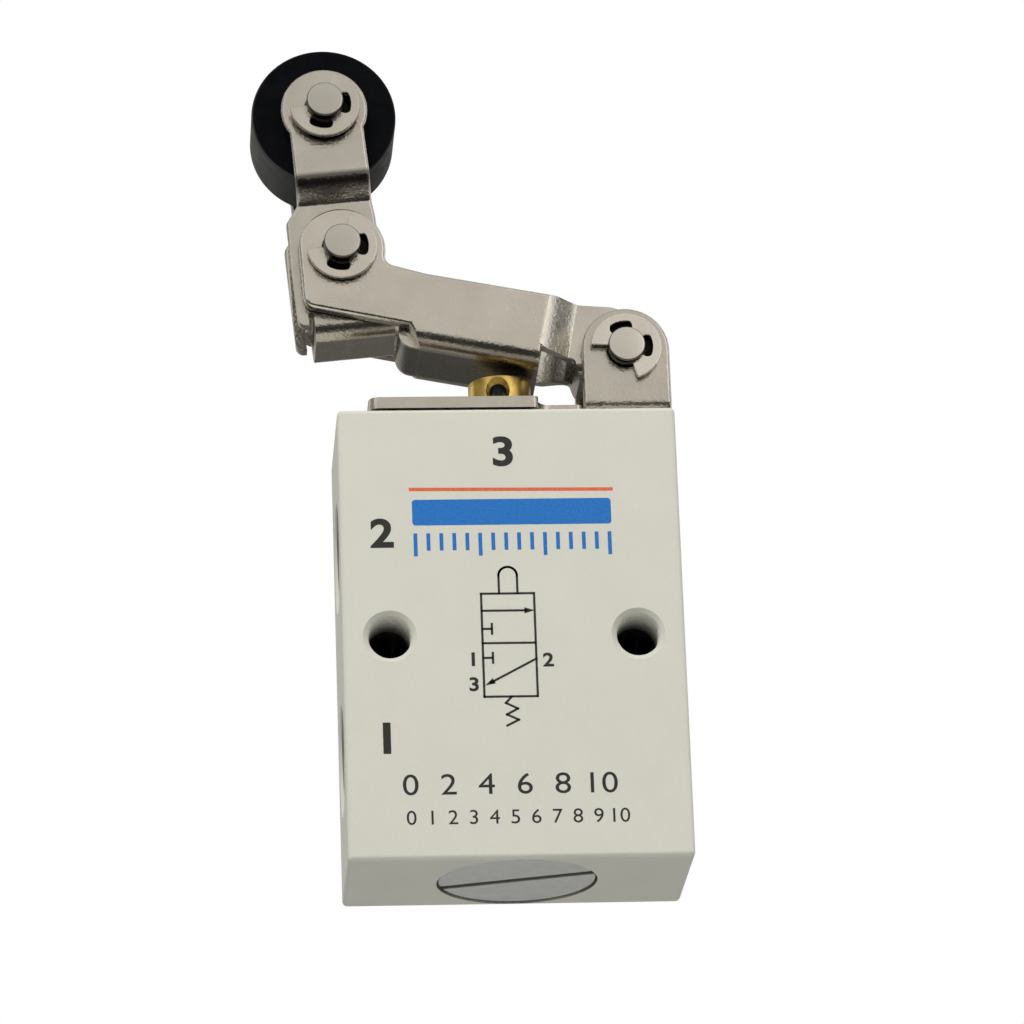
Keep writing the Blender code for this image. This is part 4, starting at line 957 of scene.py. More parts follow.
cut(block, lathe("bore", STEPPED_BORE, on_block))
for name, height in PORT_HEIGHTS.items():
    cut(block, lathe(name, PORT, from_left(height)))
    cut(block, tap(name + "_thread", from_left(height), **PORT_THREAD))
for side in (-1, 1):
    centre = Vector((side * MOUNT_X, MIDDLE, 0.0))
    cut(block, lathe("mount_hole", MOUNT_HOLE, around(centre)))
    cut(block, tap("mount_thread", around(centre), **MOUNT_THREAD))
    drill(block, Vector((side * SCREW_X, MIDDLE, 25.0)), 1.65, 9.6, turn=(0.0, 0.0, 0.0))
print("drilled block:", len(block.data.polygons), "faces")

# %% [markdown]
# ## Two finishes on one block
#
# A face belongs to a hole when its middle lies closer to the hole's axis than the hole's mouth and below
# the outer skin. Those faces take the bare, dull metal, and the rest stays painted.

# %% Bare metal in the holes
MOUNT_ZONE, PORT_ZONE, BORE_ZONE = 2.9, 6.62, 9.45


def finish_number(face):
    """0 for paint, 1 for a bare bore, 2 for the thread of a mounting hole."""
    at = face.center / MM
    if any(math.hypot(at.x - s * MOUNT_X, at.z) < MOUNT_ZONE for s in (-1, 1)) and -19.2 < at.y < -0.8:
        return 2
    in_port = any(math.hypot(at.y - MIDDLE, at.z - h) < PORT_ZONE for h in PORT_HEIGHTS.values())
    in_bore = math.hypot(at.x, at.y - MIDDLE) < BORE_ZONE and BLOCK_BOTTOM + 0.1 < at.z < BLOCK_TOP - 0.1
    return 1 if in_bore or (in_port and -19.3 < at.x < -6.0) else 0


for block_finish in (PAINT, BORE_METAL, THREAD_METAL):
    block.data.materials.append(block_finish)
for face in block.data.polygons:
    face.material_index = finish_number(face)
finish(block, "housing", PAINT, ["valve_body"])

# %% [markdown]
# ## The bracket
#
# One sheet lies on the block and folds up into two ears that hold the lever's pin. The fold could be spun
# from the plate's edge. Here the section through both ears, bends included, is one ribbon: it is
# extruded along the block, trimmed to the ears' round outline, and joined to the flat plate.

# %% The bracket and its ears
SHEET = 1.4
BRACKET_BASE = 28.45
BRACKET_TOP = BRACKET_BASE + SHEET
EAR_HALF = 5.25
EAR_OUT = 6.5
EAR_BEND = 2.2
PIN_HOLE = 2.35


def bracket_blank():
    relief, end = LEVER_PIN.x - EAR_HALF - 0.25, LEVER_PIN.x + EAR_HALF - 0.03
    corners = [
        (-16.2, 9.7, 1.3), (3.9, 9.7, 0.65), (3.9, EAR_OUT, 1.6), (relief, EAR_OUT, 0.65),
        (relief, 4.3, 0.0), (end, 4.3, 0.0),
    ]
    return rounded(corners + [(x, -y, radius) for x, y, radius in reversed(corners)])


def ear_section():
    """Middle line of the sheet through both ears, as (across, up)."""
    middle = SHEET / 2
    bend = EAR_BEND - middle
    out = EAR_OUT - middle
    floor = BRACKET_BASE + middle
    right = arc((out - bend, floor + bend), bend, -math.pi / 2, 0.0, 10) + [(out, LEVER_PIN.z + 8)]
    return [(-a, b) for a, b in reversed(right)] + right


def make_bracket():
    flat = plate("bracket", bracket_blank(), on_block, BRACKET_BASE, BRACKET_TOP)
    left, right = LEVER_PIN.x - EAR_HALF, LEVER_PIN.x + EAR_HALF
    ears = plate("ears", ribbon(ear_section(), SHEET), lambda a, b, x: on_block(x, a, b), left, right)
    arch = arc((LEVER_PIN.x, LEVER_PIN.z), EAR_HALF, math.pi, 0.0, 40)
    outline = [(left, BRACKET_BASE - 2)] + arch + [(right, BRACKET_BASE - 2)]
    trim = plate("trim", outline, lambda a, b, y: on_block(a, y, b), -12, 12)
    cut(ears, trim, "INTERSECT")
    cut(flat, roll_rim(ears), "UNION")
    drill(flat, LEVER_PIN, PIN_HOLE, 20)
    drill(flat, Vector((0, MIDDLE, BRACKET_TOP)), 4.05, 6, turn=(0, 0, 0))
    for side in (-1, 1):
        sink = [(0, 27.5), (1.8, 27.5), (1.8, 28.65), (3.0, BRACKET_TOP), (4.0, 30.85), (0, 30.85)]
        cut(flat, lathe("sink", sink, lambda a, b, z, s=side: on_block(a + s * SCREW_X, b, z), 48))
    return soften(flat)


finish(make_bracket(), "housing", BRACKET_NICKEL, ["mounting_bracket"])

# %% [markdown]
# ## The bracket's screws
#
# Two countersunk screws hold the bracket. Only their heads ever show, under the lever, so each is a turned
# part with a cross recess. The second is a copy with its own mesh.

# %% Countersunk screws
SCREW = [
    (0, 20.2), (1.05, 20.2), (1.5, 20.65), (1.5, 28.5), (2.6, 29.6), (2.7, 29.64), (2.7, 29.7), (0, 29.7),
]


def make_screws():
    first = lathe("bracket_screw_l", SCREW, lambda a, b, z: on_block(a - SCREW_X, b, z), 48)
    wide, long = 0.35, 1.3
    cross = [
        (wide, wide), (long, wide), (long, -wide), (wide, -wide), (wide, -long), (-wide, -long),
        (-wide, -wide), (-long, -wide), (-long, wide), (-wide, wide), (-wide, long), (wide, long),
    ]
    cut(first, plate("recess", cross, lambda a, b, z: on_block(a - SCREW_X, b, z), 29.0, 30.5))
    only(first)
    bpy.ops.object.duplicate()
    second = bpy.context.active_object
    second.name = "bracket_screw_r"
    second.location.x += 2 * SCREW_X * MM
    still(second)
    return first, second


for piece, node in zip(make_screws(), ("bracket_screw_left", "bracket_screw_right")):
    finish(piece, "housing", SPRING_STEEL, [node])

# %% [markdown]
# ## The lever
#
# The lever is a channel pressed from sheet, open at the top. Near its pin the walls step inwards so that
# they fit between the ears. The channel's section is extruded along its length in short steps, the walls
# are moved in where it narrows, and the side outline then trims the ends, the round eye and the heel.

# %% Section of the channel
LEVER_SHEET = 1.5
LEVER_HALF = 6.8
NECK_HALF = 4.6
LEVER_BEND = 1.9
WEB_DROP = 3.7
JOGGLE = (6.5, 10.5)


def lever_half(along):
    """Half the lever's width: a tight bend at the neck, a wide one at the shoulder."""
    share = min(max((along - JOGGLE[0]) / (JOGGLE[1] - JOGGLE[0]), 0.0), 1.0)
    share = 0.65 * ease(share) + 0.35 * (1 - (1 - share) ** 2)
    return NECK_HALF + (LEVER_HALF - NECK_HALF) * share


def channel_section(top):
    """U section at full width, as (across, up)."""
    quarter = math.pi / 2
    inner = LEVER_BEND - LEVER_SHEET
    inside = LEVER_HALF - LEVER_SHEET
    floor = -WEB_DROP + LEVER_SHEET
    out, up = LEVER_HALF - LEVER_BEND, -WEB_DROP + LEVER_BEND
    points = [(-LEVER_HALF, top)]
    points += arc((-out, up), LEVER_BEND, 2 * quarter, 3 * quarter, 10)
    points += arc((out, up), LEVER_BEND, 3 * quarter, 4 * quarter, 10)
    points += [(LEVER_HALF, top), (inside, top)]
    points += arc((inside - inner, floor + inner), inner, 4 * quarter, 3 * quarter, 4)
    points += arc((-inside + inner, floor + inner), inner, 3 * quarter, 2 * quarter, 4)
    return points + [(-inside, top)]


print("width at the neck and the shoulder:", 2 * lever_half(0.0), 2 * lever_half(20.0))

# %% [markdown]
# ## From section to channel
#
# A bend could be pushed into a finished channel with proportional editing, but only by eye. Extruding in
# short steps puts rows of corners where the walls narrow, and each row then moves by a worked-out amount.

# %% Extrude the channel


def make_channel():
    """Extrude the section step by step, then move the walls in near the pin."""
    steps = 24
    start, stop = JOGGLE
    stations = [-11.0] + [start + (stop - start) * i / steps for i in range(steps + 1)] + [47.0]
    section = channel_section(17.0)
    made = plate("lever", section, lambda a, b, s: on_lever(s, b, a), stations[0], stations[1])
    edit(made)
    for here, there in zip(stations[1:], stations[2:]):
        reach = here - 0.001
        pick(made, lambda f: all(((v.co / MM) - LEVER_PIN).dot(ALONG) > reach for v in f.verts))
        bpy.ops.mesh.extrude_region_move(TRANSFORM_OT_translate={"value": ALONG * (there - here) * MM})
    face_outwards(made)
    for corner in made.data.vertices:
        at = corner.co / MM - LEVER_PIN
        narrow = LEVER_HALF - lever_half(at.dot(ALONG))
        corner.co.y -= math.copysign(narrow, at.y) * MM
    return made


channel = make_channel()
print("channel:", len(channel.data.polygons), "faces")

# %% [markdown]
# ## The lever's outline
#
# Seen from the front the lever has a round end at its pin, a straight top, a round eye for the arm's pin
# and a heel below it. The far end of the web is folded up into a lip: the arm rests against it. The
# fillet before the eye is worked out so that it touches both the eye and the straight top, without a kink.

# %% Outline with its eye
EYE = (35.5, 6.55)
EYE_HALF, EYE_FILLET, EYE_FOOT = 5.27, 1.2, 5.66
WEB_START, WEB_END = 9.9, 25.0


def eye_outline():
    """The round eye, and the hollow arc that touches both it and the straight top."""
    up = EYE_FOOT + EYE_FILLET
    reach = (EYE_HALF + EYE_FILLET) ** 2 - (up - EYE[1]) ** 2
    hollow = (EYE[0] - math.sqrt(reach), up)
    meet = math.atan2(EYE[1] - hollow[1], EYE[0] - hollow[0])
    return arc(hollow, EYE_FILLET, -math.pi / 2, meet, 8)[:-1] + arc(EYE, EYE_HALF, math.pi + meet, 0.0, 40)


def lever_outline():
    quarter = math.pi / 2
    under = -WEB_DROP - 0.25
    corners = [(a, b, 0.0) for a, b in arc((0, 0), 5.3, 3 * quarter, quarter, 36)]
    corners += [(2.3, 5.75, 3.0), (6.2, 5.3, 0.0), (WEB_END, 5.3, 0.0)]
    corners += [(a, b, 0.0) for a, b in eye_outline()]
    corners += [
        (38.7, -1.4, 1.6), (WEB_END + 0.95, -1.6, 0.0), (WEB_END - 0.95, under, 0.0), (WEB_START, under, 0.0),
        (WEB_START, -1.6, 0.0), (5.8, -1.6, 0.6), (3.9, -5.6, 0.6),
    ]
    return rounded(corners)


print("lever outline:", len(lever_outline()), "corners")

# %% [markdown]
# ## Trim, lip and holes
#
# The outline becomes a block with rolled edges, and what the channel and the block share is kept: that
# trims both walls at once and rolls their rims as well. The lip is a ribbon, joined on, and both pin holes
# are drilled right through.

# %% Finish the lever
LIP_FACE, LIP_TOP, LIP_BEND = 27.2, 2.0, 2.1
LIP_THINNING = 0.04
LEVER_RIM = 0.5
TRIM_SPARE = 0.004


def make_lever():
    side = LEVER_HALF + TRIM_SPARE
    keep = plate("keep", lever_outline(), on_lever, -side, side)
    cut(channel, roll_rim(keep, LEVER_RIM), "INTERSECT")
    half = LEVER_SHEET / 2
    web = -WEB_DROP + half
    middle = LIP_BEND - half
    bend = arc((LIP_FACE - LIP_BEND, web + middle), middle, -math.pi / 2, 0.0, 12)
    path = [(WEB_END - 4.5, web)] + bend + [(LIP_FACE - half, LIP_TOP)]
    lip_half = LEVER_HALF - LEVER_SHEET - 0.6
    lip = plate("lip", ribbon(path, LEVER_SHEET - LIP_THINNING), on_lever, -lip_half, lip_half)
    cut(channel, lip, "UNION")
    drill(channel, LEVER_PIN, PIN_HOLE, 20)
    drill(channel, ARM_PIN, PIN_HOLE, 20)
    return soften(channel)


finish(make_lever(), "lever", LEVER_NICKEL, ["main_lever"])

# %% [markdown]
# ## The arm
#
# The arm is a strip bent to a fork. Seen from the side it is a U whose legs step outwards to make room
# for the roller. The legs could be two plates with a foot between them, but then the bends would be seams.
# So the section is one ribbon, extruded to the arm's width and trimmed to its outline.

# %% Section and outline of the arm
ARM_SHEET = 1.5
ARM_LENGTH = 18.25
FORK_OUT = 7.0
FOOT_HALF = LEVER_HALF - LEVER_SHEET - 0.3
FOOT_DROP = 10.4
ARM_BEND = 2.0
ARM_JOGGLE = (6.5, 9.9)
FOOT_LEFT = -4.15


def arm_section():
    """Middle line of the strip, as (across, up), front leg first."""
    half = ARM_SHEET / 2
    fork, foot, bend, floor = FORK_OUT - half, FOOT_HALF - half, ARM_BEND - half, -FOOT_DROP + half
    steps = 20
    front = [(-fork, ARM_LENGTH + 11)]
    for i in range(steps + 1):
        up = ARM_JOGGLE[1] + (ARM_JOGGLE[0] - ARM_JOGGLE[1]) * i / steps
        front.append((-(fork + (foot - fork) * ease(i / steps)), up))
    front += arc((-foot + bend, floor + bend), bend, math.pi, 1.5 * math.pi, 10)
    return front + [(-a, b) for a, b in reversed(front)]


def arm_stop():
    """How far right the arm's foot reaches, so that its corner meets the lever's lip."""
    pin_along = (ARM_PIN - LEVER_PIN).dot(ALONG)
    foot_along = pin_along - FOOT_DROP * ARM_UP.dot(ALONG)
    return (LIP_FACE + 0.25 - foot_along) / ARM_RIGHT.dot(ALONG)


def arm_outline():
    start = math.asin(4.5 / 5.25) - math.pi / 2
    stop = arm_stop()
    below = -FOOT_DROP - 0.25
    corners = [(a, b, 0.0) for a, b in arc((0, ARM_LENGTH), 5.25, start, math.pi - start, 48)]
    corners += [
        (-4.5, 6.9, 0.8), (-6.1, 4.7, 0.8), (-6.1, -8.7, 1.0), (-4.85, -8.7, 0.0), (-4.85, -7.2, 0.0),
        (FOOT_LEFT, -7.2, 0.0), (FOOT_LEFT, below, 0.0), (stop, below, 0.0), (stop, -7.2, 0.8),
        (4.7, -5.8, 0.8), (4.7, 4.7, 0.0), (4.5, 6.5, 0.0),
    ]
    return rounded(corners)


print("arm outline:", len(arm_outline()), "corners, foot reaching", round(arm_stop(), 2), "mm to the right")

# %% [markdown]
# ## Trim the arm
#
# The extruded fork is cut to the outline, as the flat strip is punched before it is bent. The rims of the
# legs are rolled and those of the foot are not: the foot's edge has to meet the lip squarely.

# %% Finish the arm
ROLLED_FROM = -6.9


def make_arm():
    strip = plate("arm", ribbon(arm_section(), ARM_SHEET), lambda a, b, right: on_arm(right, b, a), -12, 12)
    cut(strip, plate("keep", arm_outline(), on_arm, -14, 14), "INTERSECT")
    roll_rim(strip, wanted=lambda at: (at - ARM_PIN).dot(ARM_UP) > ROLLED_FROM)
    drill(strip, ARM_PIN, PIN_HOLE, 20)
    drill(strip, AXLE, PIN_HOLE, 20)
    return soften(strip)


finish(make_arm(), "arm", ARM_NICKEL, ["roller_arm"])

# %% [markdown]
# ## Three pins
#
# Each pin is a turned rod with a flat head behind, a groove for its clip, and a front end with a rounded
# rim. Each could be drawn by itself, but the three share one profile, and only their lengths differ.

# %% Pins from one profile
PIN_RADIUS = 2.2
GROOVE_RADIUS = 1.6
CLIP_THICKNESS = 0.7


def pin(name, centre, half_width, end, standoff):
    """half_width is to the outer face it passes through, end is how far it stands out."""
    front = -(half_width + end)
    groove = -(half_width + standoff + CLIP_THICKNESS)
    seat = half_width + 0.25
    rim = arc((1.95, front + 0.25), 0.25, -math.pi / 2, 0.0, 4)
    head = arc((3.0, seat + 0.7), 0.3, 0.0, math.pi / 2, 5)
    profile = [(0, front)] + rim + [
        (PIN_RADIUS, groove - 0.15), (GROOVE_RADIUS, groove - 0.15), (GROOVE_RADIUS, groove + 0.85),
        (PIN_RADIUS, groove + 0.85), (PIN_RADIUS, seat), (3.15, seat), (3.3, seat + 0.15),
    ] + head + [(0, seat + 1.0)]
    return lathe(name, profile, around(centre), 72)


PINS = {
    "pin_of_lever": (LEVER_PIN, EAR_OUT, 1.8, 0.3, "lever", "housing", "lever_pin"),
    "pin_of_arm": (ARM_PIN, LEVER_HALF, 2.6, 0.4, "arm", "lever", "arm_pin"),
    "axle_of_roller": (AXLE, FORK_OUT, 3.0, 0.9, "axle", "arm", "roller_axle"),
}
for name, (centre, half_width, end, standoff, held, body, node) in PINS.items():
    turned = pin(name, centre, half_width, end, standoff)
    finish(turned, body, PIN_METAL[held], [node])

# %% [markdown]
# ## Retaining clips
#
# A clip is a stamped ring with a mouth and three prongs that grip the pin's groove. Between the prongs
# are two windows, which look black from the front. The outline is drawn from arcs about the pin.

# %% Three clips
CLIP_RADIUS = 4.2
CLIP_GRIP = 1.75
WINDOW_RISE = 1.4


def window(start, end, steps=20):
    """The outer edge of a window between two prongs, with round ends."""
    points = []
    for i in range(steps + 1):
        share = i / steps
        ends = min(share, 1 - share) / 0.2
        rise = math.sqrt(max(1 - (1 - ends) ** 2, 0.0)) if ends < 1 else 1.0
        radius = CLIP_GRIP + WINDOW_RISE * rise
        points.append((start + (end - start) * share, radius))
    return points


def clip(name, centre, half_width, standoff, turn):
    """A clip whose mouth points towards turn; standoff is its distance from the face behind it."""
    mouth, prong, nose = math.radians(55.0), math.radians(40.0), math.radians(18.0)
    full = 2 * math.pi
    outline = arc((0, 0), CLIP_RADIUS, turn + mouth, turn + full - mouth, 60)
    outline += arc((0, 0), CLIP_GRIP, turn + full - mouth, turn + full - mouth - prong, 8)
    edges = window(full - mouth - prong, math.pi + nose)[1:-1]
    edges += [(math.pi + nose - 2 * nose * i / 6, CLIP_GRIP) for i in range(7)]
    edges += window(math.pi - nose, mouth + prong)[1:-1]
    outline += [(radius * math.cos(turn + a), radius * math.sin(turn + a)) for a, radius in edges]
    outline += arc((0, 0), CLIP_GRIP, turn + mouth + prong, turn + mouth, 8)
    back = -(half_width + standoff)
    made = plate(name, outline, around(centre), back - CLIP_THICKNESS, back)
    return soften(made, width=0.12, sharper_than=40.0)


CLIPS = {
    "clip_of_lever_pin": (LEVER_PIN, EAR_OUT, 0.3, "lever", "housing", "lever_pin_clip"),
    "clip_of_arm_pin": (ARM_PIN, LEVER_HALF, 0.4, "arm", "lever", "arm_pin_clip"),
    "clip_of_axle": (AXLE, FORK_OUT, 0.9, "axle", "arm", "axle_clip"),
}
for name, (centre, half_width, standoff, held, body, node) in CLIPS.items():
    ring = clip(name, centre, half_width, standoff, math.radians(MOUTHS[held]))
    finish(ring, body, CLIP_METAL[held], [node])

# %% [markdown]
# ## The roller
#
# A thick ring of black plastic on a steel bush, with a thin washer each side. Its outer edges have a
# small round.

# %% Roller, bush and washers
ROLLER_HALF = 4.7


def make_roller():
    front = [(3.4, -ROLLER_HALF), (8.2, -ROLLER_HALF)]
    front += arc((8.3, -ROLLER_HALF + 0.45), 0.45, -math.pi / 2, 0.0, 6)
    back = [(a, -b) for a, b in reversed(front)]
    return lathe("black_roller", front + back, around(AXLE), 144)


finish(make_roller(), "roller", PLASTIC, ["roller"])
bush = [(2.35, -4.7), (3.15, -4.7), (3.25, -4.6), (3.25, 4.6), (3.15, 4.7), (2.35, 4.7)]
inner_ring = lathe("bush_of_roller", bush, around(AXLE), 64)
finish(inner_ring, "roller", SPRING_STEEL, ["roller_bush"])
for name, side in (("front", -1), ("rear", 1)):
    low, high = sorted((side * 4.95, side * 5.25))
    ring = [(2.35, low), (3.35, low), (3.4, low + 0.05), (3.4, high - 0.05), (3.35, high), (2.35, high)]
    washer = lathe("washer_" + name, ring, around(AXLE), 64)
    finish(washer, "arm", SPRING_STEEL, ["roller_washer_" + name])

# %% [markdown]
# ## The torsion spring
#
# A coil round the arm's pin keeps the arm against the lip. One leg hooks behind the arm's foot and the
# other rests on the lip. A curve with a round bevel gives the wire, and it is then made a mesh.

# %% Spring on the arm's pin
WIRE = 0.45


def spring_path():
    coil = PIN_RADIUS + 0.15 + 0.9
    half = FOOT_HALF - ARM_SHEET - 0.3 - WIRE
    turns, steps = 4.25, 136
    path = [on_arm(FOOT_LEFT - WIRE - 0.25, -FOOT_DROP + ARM_SHEET, -half)]
    for i in range(steps + 1):
        angle = math.pi + 2 * math.pi * turns * i / steps
        path.append(on_arm(coil * math.cos(angle), coil * math.sin(angle), -half + 2 * half * i / steps))
    return path + [on_lever(LIP_FACE - LEVER_SHEET, LIP_TOP + WIRE + 0.25, half)]


def make_wire(name, path, radius):
    curve = bpy.data.curves.new(name, "CURVE")
    curve.dimensions = "3D"
    curve.bevel_depth = radius * MM
    curve.bevel_resolution = 3
    curve.use_fill_caps = True
    line = curve.splines.new("POLY")
    line.points.add(len(path) - 1)
    for spot, at in zip(line.points, path):
        spot.co = (*at, 1.0)
    made = bpy.data.objects.new(name, curve)
    bpy.context.collection.objects.link(made)
    only(made)
    bpy.ops.object.convert(target="MESH")
    return bpy.context.active_object


arm_spring = make_wire("spring_of_arm", spring_path(), WIRE)
finish(arm_spring, "lever", SPRING_STEEL, ["torsion_spring"])

# %% [markdown] ## The two springs inside One spring returns the rod and one closes the poppet.

# %% Return springs in the block
SPRINGS = {
    "stem_spring": ("return_coil", 0.9, 6.5, "stem_slide", 2.3),
    "poppet_spring": ("poppet_coil", 0.8, 5.5, "poppet_slide", 1.4),
}
END_TURN, END_RISE = 0.75, 0.08


def coil_path(radius, low, high, turns):
    """An upright coil whose first and last turns lie nearly flat."""
    steps = round(turns * 24)
    dead = END_TURN / turns
    path = []
    for i in range(steps + 1):
        share = i / steps
        climb = min(max((share - dead) / (1 - 2 * dead), 0.0), 1.0)
        up = low + (high - low) * (END_RISE * share + (1 - END_RISE) * climb)
        angle = 2 * math.pi * turns * share
        path.append(on_block(radius * math.cos(angle), radius * math.sin(angle), up))
    return path


for node, (name, wire, turns, joint, travel) in SPRINGS.items():
    foot, head = (corner / MM for corner in map(Vector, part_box(node)))
    radius = (head.x - foot.x - wire) / 2
    coil = make_wire(name, coil_path(radius, foot.z + wire / 2, head.z - wire / 2, turns), wire / 2)
    finish(coil, "housing", SPRING_STEEL, [node])
    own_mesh(coil)

# %% [markdown]
# ## The brass rod
#
# The rod is what the lever pushes. Its crown is a shallow dome, and a countersunk hole runs across it just
# below: exhaust air leaves there. Inside the block it narrows to a thin tube.

# %% Rod with its cross hole


def make_rod():
    crown, dome_radius, radius = 35.61, 8.5, 3.75
    dome = []
    for i in range(10):
        out = radius * (1 - i / 9)
        dome.append((out, crown - dome_radius + math.sqrt(dome_radius ** 2 - out ** 2)))
    profile = [
        (0, CROSS_HOLE), (1.4, CROSS_HOLE), (1.4, -0.75), (1.95, -0.75), (2.3, -0.4), (2.3, 16.65),
        (5.0, 16.65), (5.0, 18.25), (radius, 18.25), (radius, dome[0][1] - 0.2),
    ]
    made = lathe("brass_rod", profile + dome, on_block, 96)
    cross = [(0, -5), (3.0, -5), (0.95, -3.0), (0.95, 3.0), (3.0, 5), (0, 5)]
    turn = Matrix.Rotation(CROSS_TURN, 3, "Z")

    def across_rod(right, up, back):
        return (Vector((0, MIDDLE, CROSS_HOLE)) + turn @ Vector((right, back, up))) * MM

    cut(made, lathe("cross_hole", cross, across_rod, 48))
    return made


rod = make_rod()
finish(rod, "stem", BRASS, ["valve_stem"])

# %% [markdown]
# ## The plug
#
# A slotted disc closes the bore from below. The slot is a plain saw cut right across, and the disc sits
# a hair below the painted face, so a thin dark ring shows round it.

# %% The slotted plug


def make_plug():
    profile = [(0, -26.8), (8.85, -26.8)]
    profile += arc((8.95, -26.5), 0.3, -math.pi / 2, 0.0, 4)
    profile += [
        (9.25, -24.2), (6.85, -24.2), (6.85, -23.25), (5.7, -23.25), (5.7, -21.85), (6.85, -21.85),
        (6.85, -19.0), (4.6, -19.0), (4.6, -22.6), (0, -22.6),
    ]
    made = lathe("slotted_plug", profile, on_block, 120)
    turn = Matrix.Rotation(math.radians(-18.0), 2)
    slot = [tuple(turn @ Vector(p)) for p in ((-11, -0.7), (11, -0.7), (11, 0.7), (-11, 0.7))]
    cut(made, plate("slot", slot, on_block, -28.5, -25.4))
    return made


finish(make_plug(), "housing", PLUG_METAL, ["bottom_plug"])

# %% [markdown]
# ## Inner parts
#
# The seals, the seat and the sleeve inside the block keep the packed shapes, which are right as they are:
# turned rings with nothing fine on them. They could be spun anew, but nobody would see a difference. Each
# only takes its finish.

# %% Finishes on the inner parts
INNER = {
    "stem_o_ring": RUBBER, "seat_o_ring": RUBBER, "plug_o_ring": RUBBER, "poppet_seal": RUBBER,
    "seat_ring": BRASS, "spacer_sleeve": ALUMINIUM, "poppet": ALUMINIUM,
}
for name, inner_finish in INNER.items():
    node = frame["nodes"][name]
    for slot in node.material_slots:
        slot.material = inner_finish
print("inner parts:", ", ".join(sorted(INNER)))

# %% [markdown]
# ## Printed marks
#
# The front carries screen-printed marks: port numbers, the valve's switching symbol, a coloured band and
# a scale of numbers. Ink is a film a few hundredths of a millimetre thick. Flat bars are plates of that
# thickness, half sunk in the paint, and numbers are text turned into mesh.

# %% Inks


def make_ink(name, dark, light):
    ink = Finish(name, light, 0.0, 0.4)
    wear = ink.grain(0.25)
    ink.drive("Base Color", ink.tint(wear, dark, light, 0.35, 0.65))
    ink.drive("Roughness", ink.spread(wear, 0.34, 0.5))
    ink.relief((wear, 0.1, 0.005))
    return ink.material


BLACK_INK = make_ink("black_ink", (0.008, 0.008, 0.008), (0.02, 0.02, 0.02))
BLUE_INK = make_ink("blue_ink", (0.002, 0.12, 0.43), (0.006, 0.17, 0.52))
ORANGE_INK = make_ink("orange_ink", (0.60, 0.09, 0.03), (0.76, 0.16, 0.06))
INK_BACK, INK_FRONT = -9.99, -10.012
print("inks:", BLACK_INK.name, BLUE_INK.name, ORANGE_INK.name)

# %% [markdown]
# ## Lines and arrows
#
# A printed line is a thin plate between two points. Arrow heads are triangles. A drawn curve with a
# thickness could give the same lines, but plates have square ends and an even film. Lines of one colour are
# joined into one mark, because a screen prints them in one stroke.

# %% Lines, arrows and joining


def on_front(right, up, across):
    return on_block(right, across, up)


def printed(name, outline, ink):
    made = plate(name, outline, on_front, INK_BACK, INK_FRONT)
    made.data.materials.append(ink)
    return made


def line(a, b, width=0.27):
    """The outline of a straight line from a to b."""
    start, end = Vector(a), Vector(b)
    run = (end - start).normalized() * width / 2
    side = Vector((-run.y, run.x))
    corners = (start - run - side, end + run - side, end + run + side, start - run + side)
    return [tuple(c) for c in corners]


def arrow(tip, tail, length=1.2, width=0.75):
    back = (Vector(tail) - Vector(tip)).normalized()
    side = Vector((-back.y, back.x)) * width / 2
    base = Vector(tip) + back * length
    return [tuple(Vector(tip)), tuple(base + side), tuple(base - side)]


def join(name, marks):
    only(marks[0])
    for mark in marks[1:]:
        mark.select_set(True)
    bpy.ops.object.join()
    marks[0].name = name
    return marks[0]


print("printing helpers:", ", ".join(f.__name__ for f in (printed, line, arrow, join)))

# %% [markdown]
# ## The symbol
#
# The symbol has two squares, one for each position of the valve. Arrows show the way the air takes and
# T-shaped ends a closed port. The dome on top stands for the roller, the zigzag below for the spring. Each
# stroke is listed by its two ends, measured on the front.

# %% Draw the symbol
LEFT, RIGHT, TOP, FOOT, HALF = -3.74, 2.46, 5.08, -7.53, -1.0
dome = arc((-0.55, 7.27), 1.08, 0.0, math.pi, 16)
dome = [(0.53, TOP)] + dome + [(-1.63, TOP)]
spring = [(-0.55, FOOT), (-1.27, -8.31), (0.10, -9.01), (-1.20, -9.71), (0.17, -10.36), (-1.20, -11.06)]
strokes = [
    ((LEFT, TOP), (RIGHT, TOP)), ((LEFT, FOOT), (RIGHT, FOOT)), ((LEFT, TOP), (LEFT, FOOT)),
    ((RIGHT, TOP), (RIGHT, FOOT)), ((LEFT, HALF), (RIGHT, HALF)), ((LEFT, 2.98), (RIGHT - 1.0, 2.98)),
    ((LEFT, 0.75), (-2.6, 0.75)), ((-2.6, 1.35), (-2.6, 0.15)), ((LEFT, -2.8), (-2.6, -2.8)),
    ((-2.6, -2.2), (-2.6, -3.4)), ((RIGHT, -2.95), (-2.9, -5.8)),
]
strokes += list(zip(dome, dome[1:])) + list(zip(spring, spring[1:]))
marks = [printed("stroke", line(a, b), BLACK_INK) for a, b in strokes]
marks.append(printed("head", arrow((RIGHT, 2.98), (LEFT, 2.98)), BLACK_INK))
marks.append(printed("head", arrow((-3.6, -6.15), (RIGHT, -2.95)), BLACK_INK))
finish(join("printed_symbol", marks), "housing", BLACK_INK)

# %% [markdown]
# ## Numbers
#
# Ports on air valves are numbered: 1 is the supply, 2 the outlet and 3 the exhaust. Text is added flat,
# centred on its place, stood up against the front and made a mesh.

# %% Port numbers and the scale


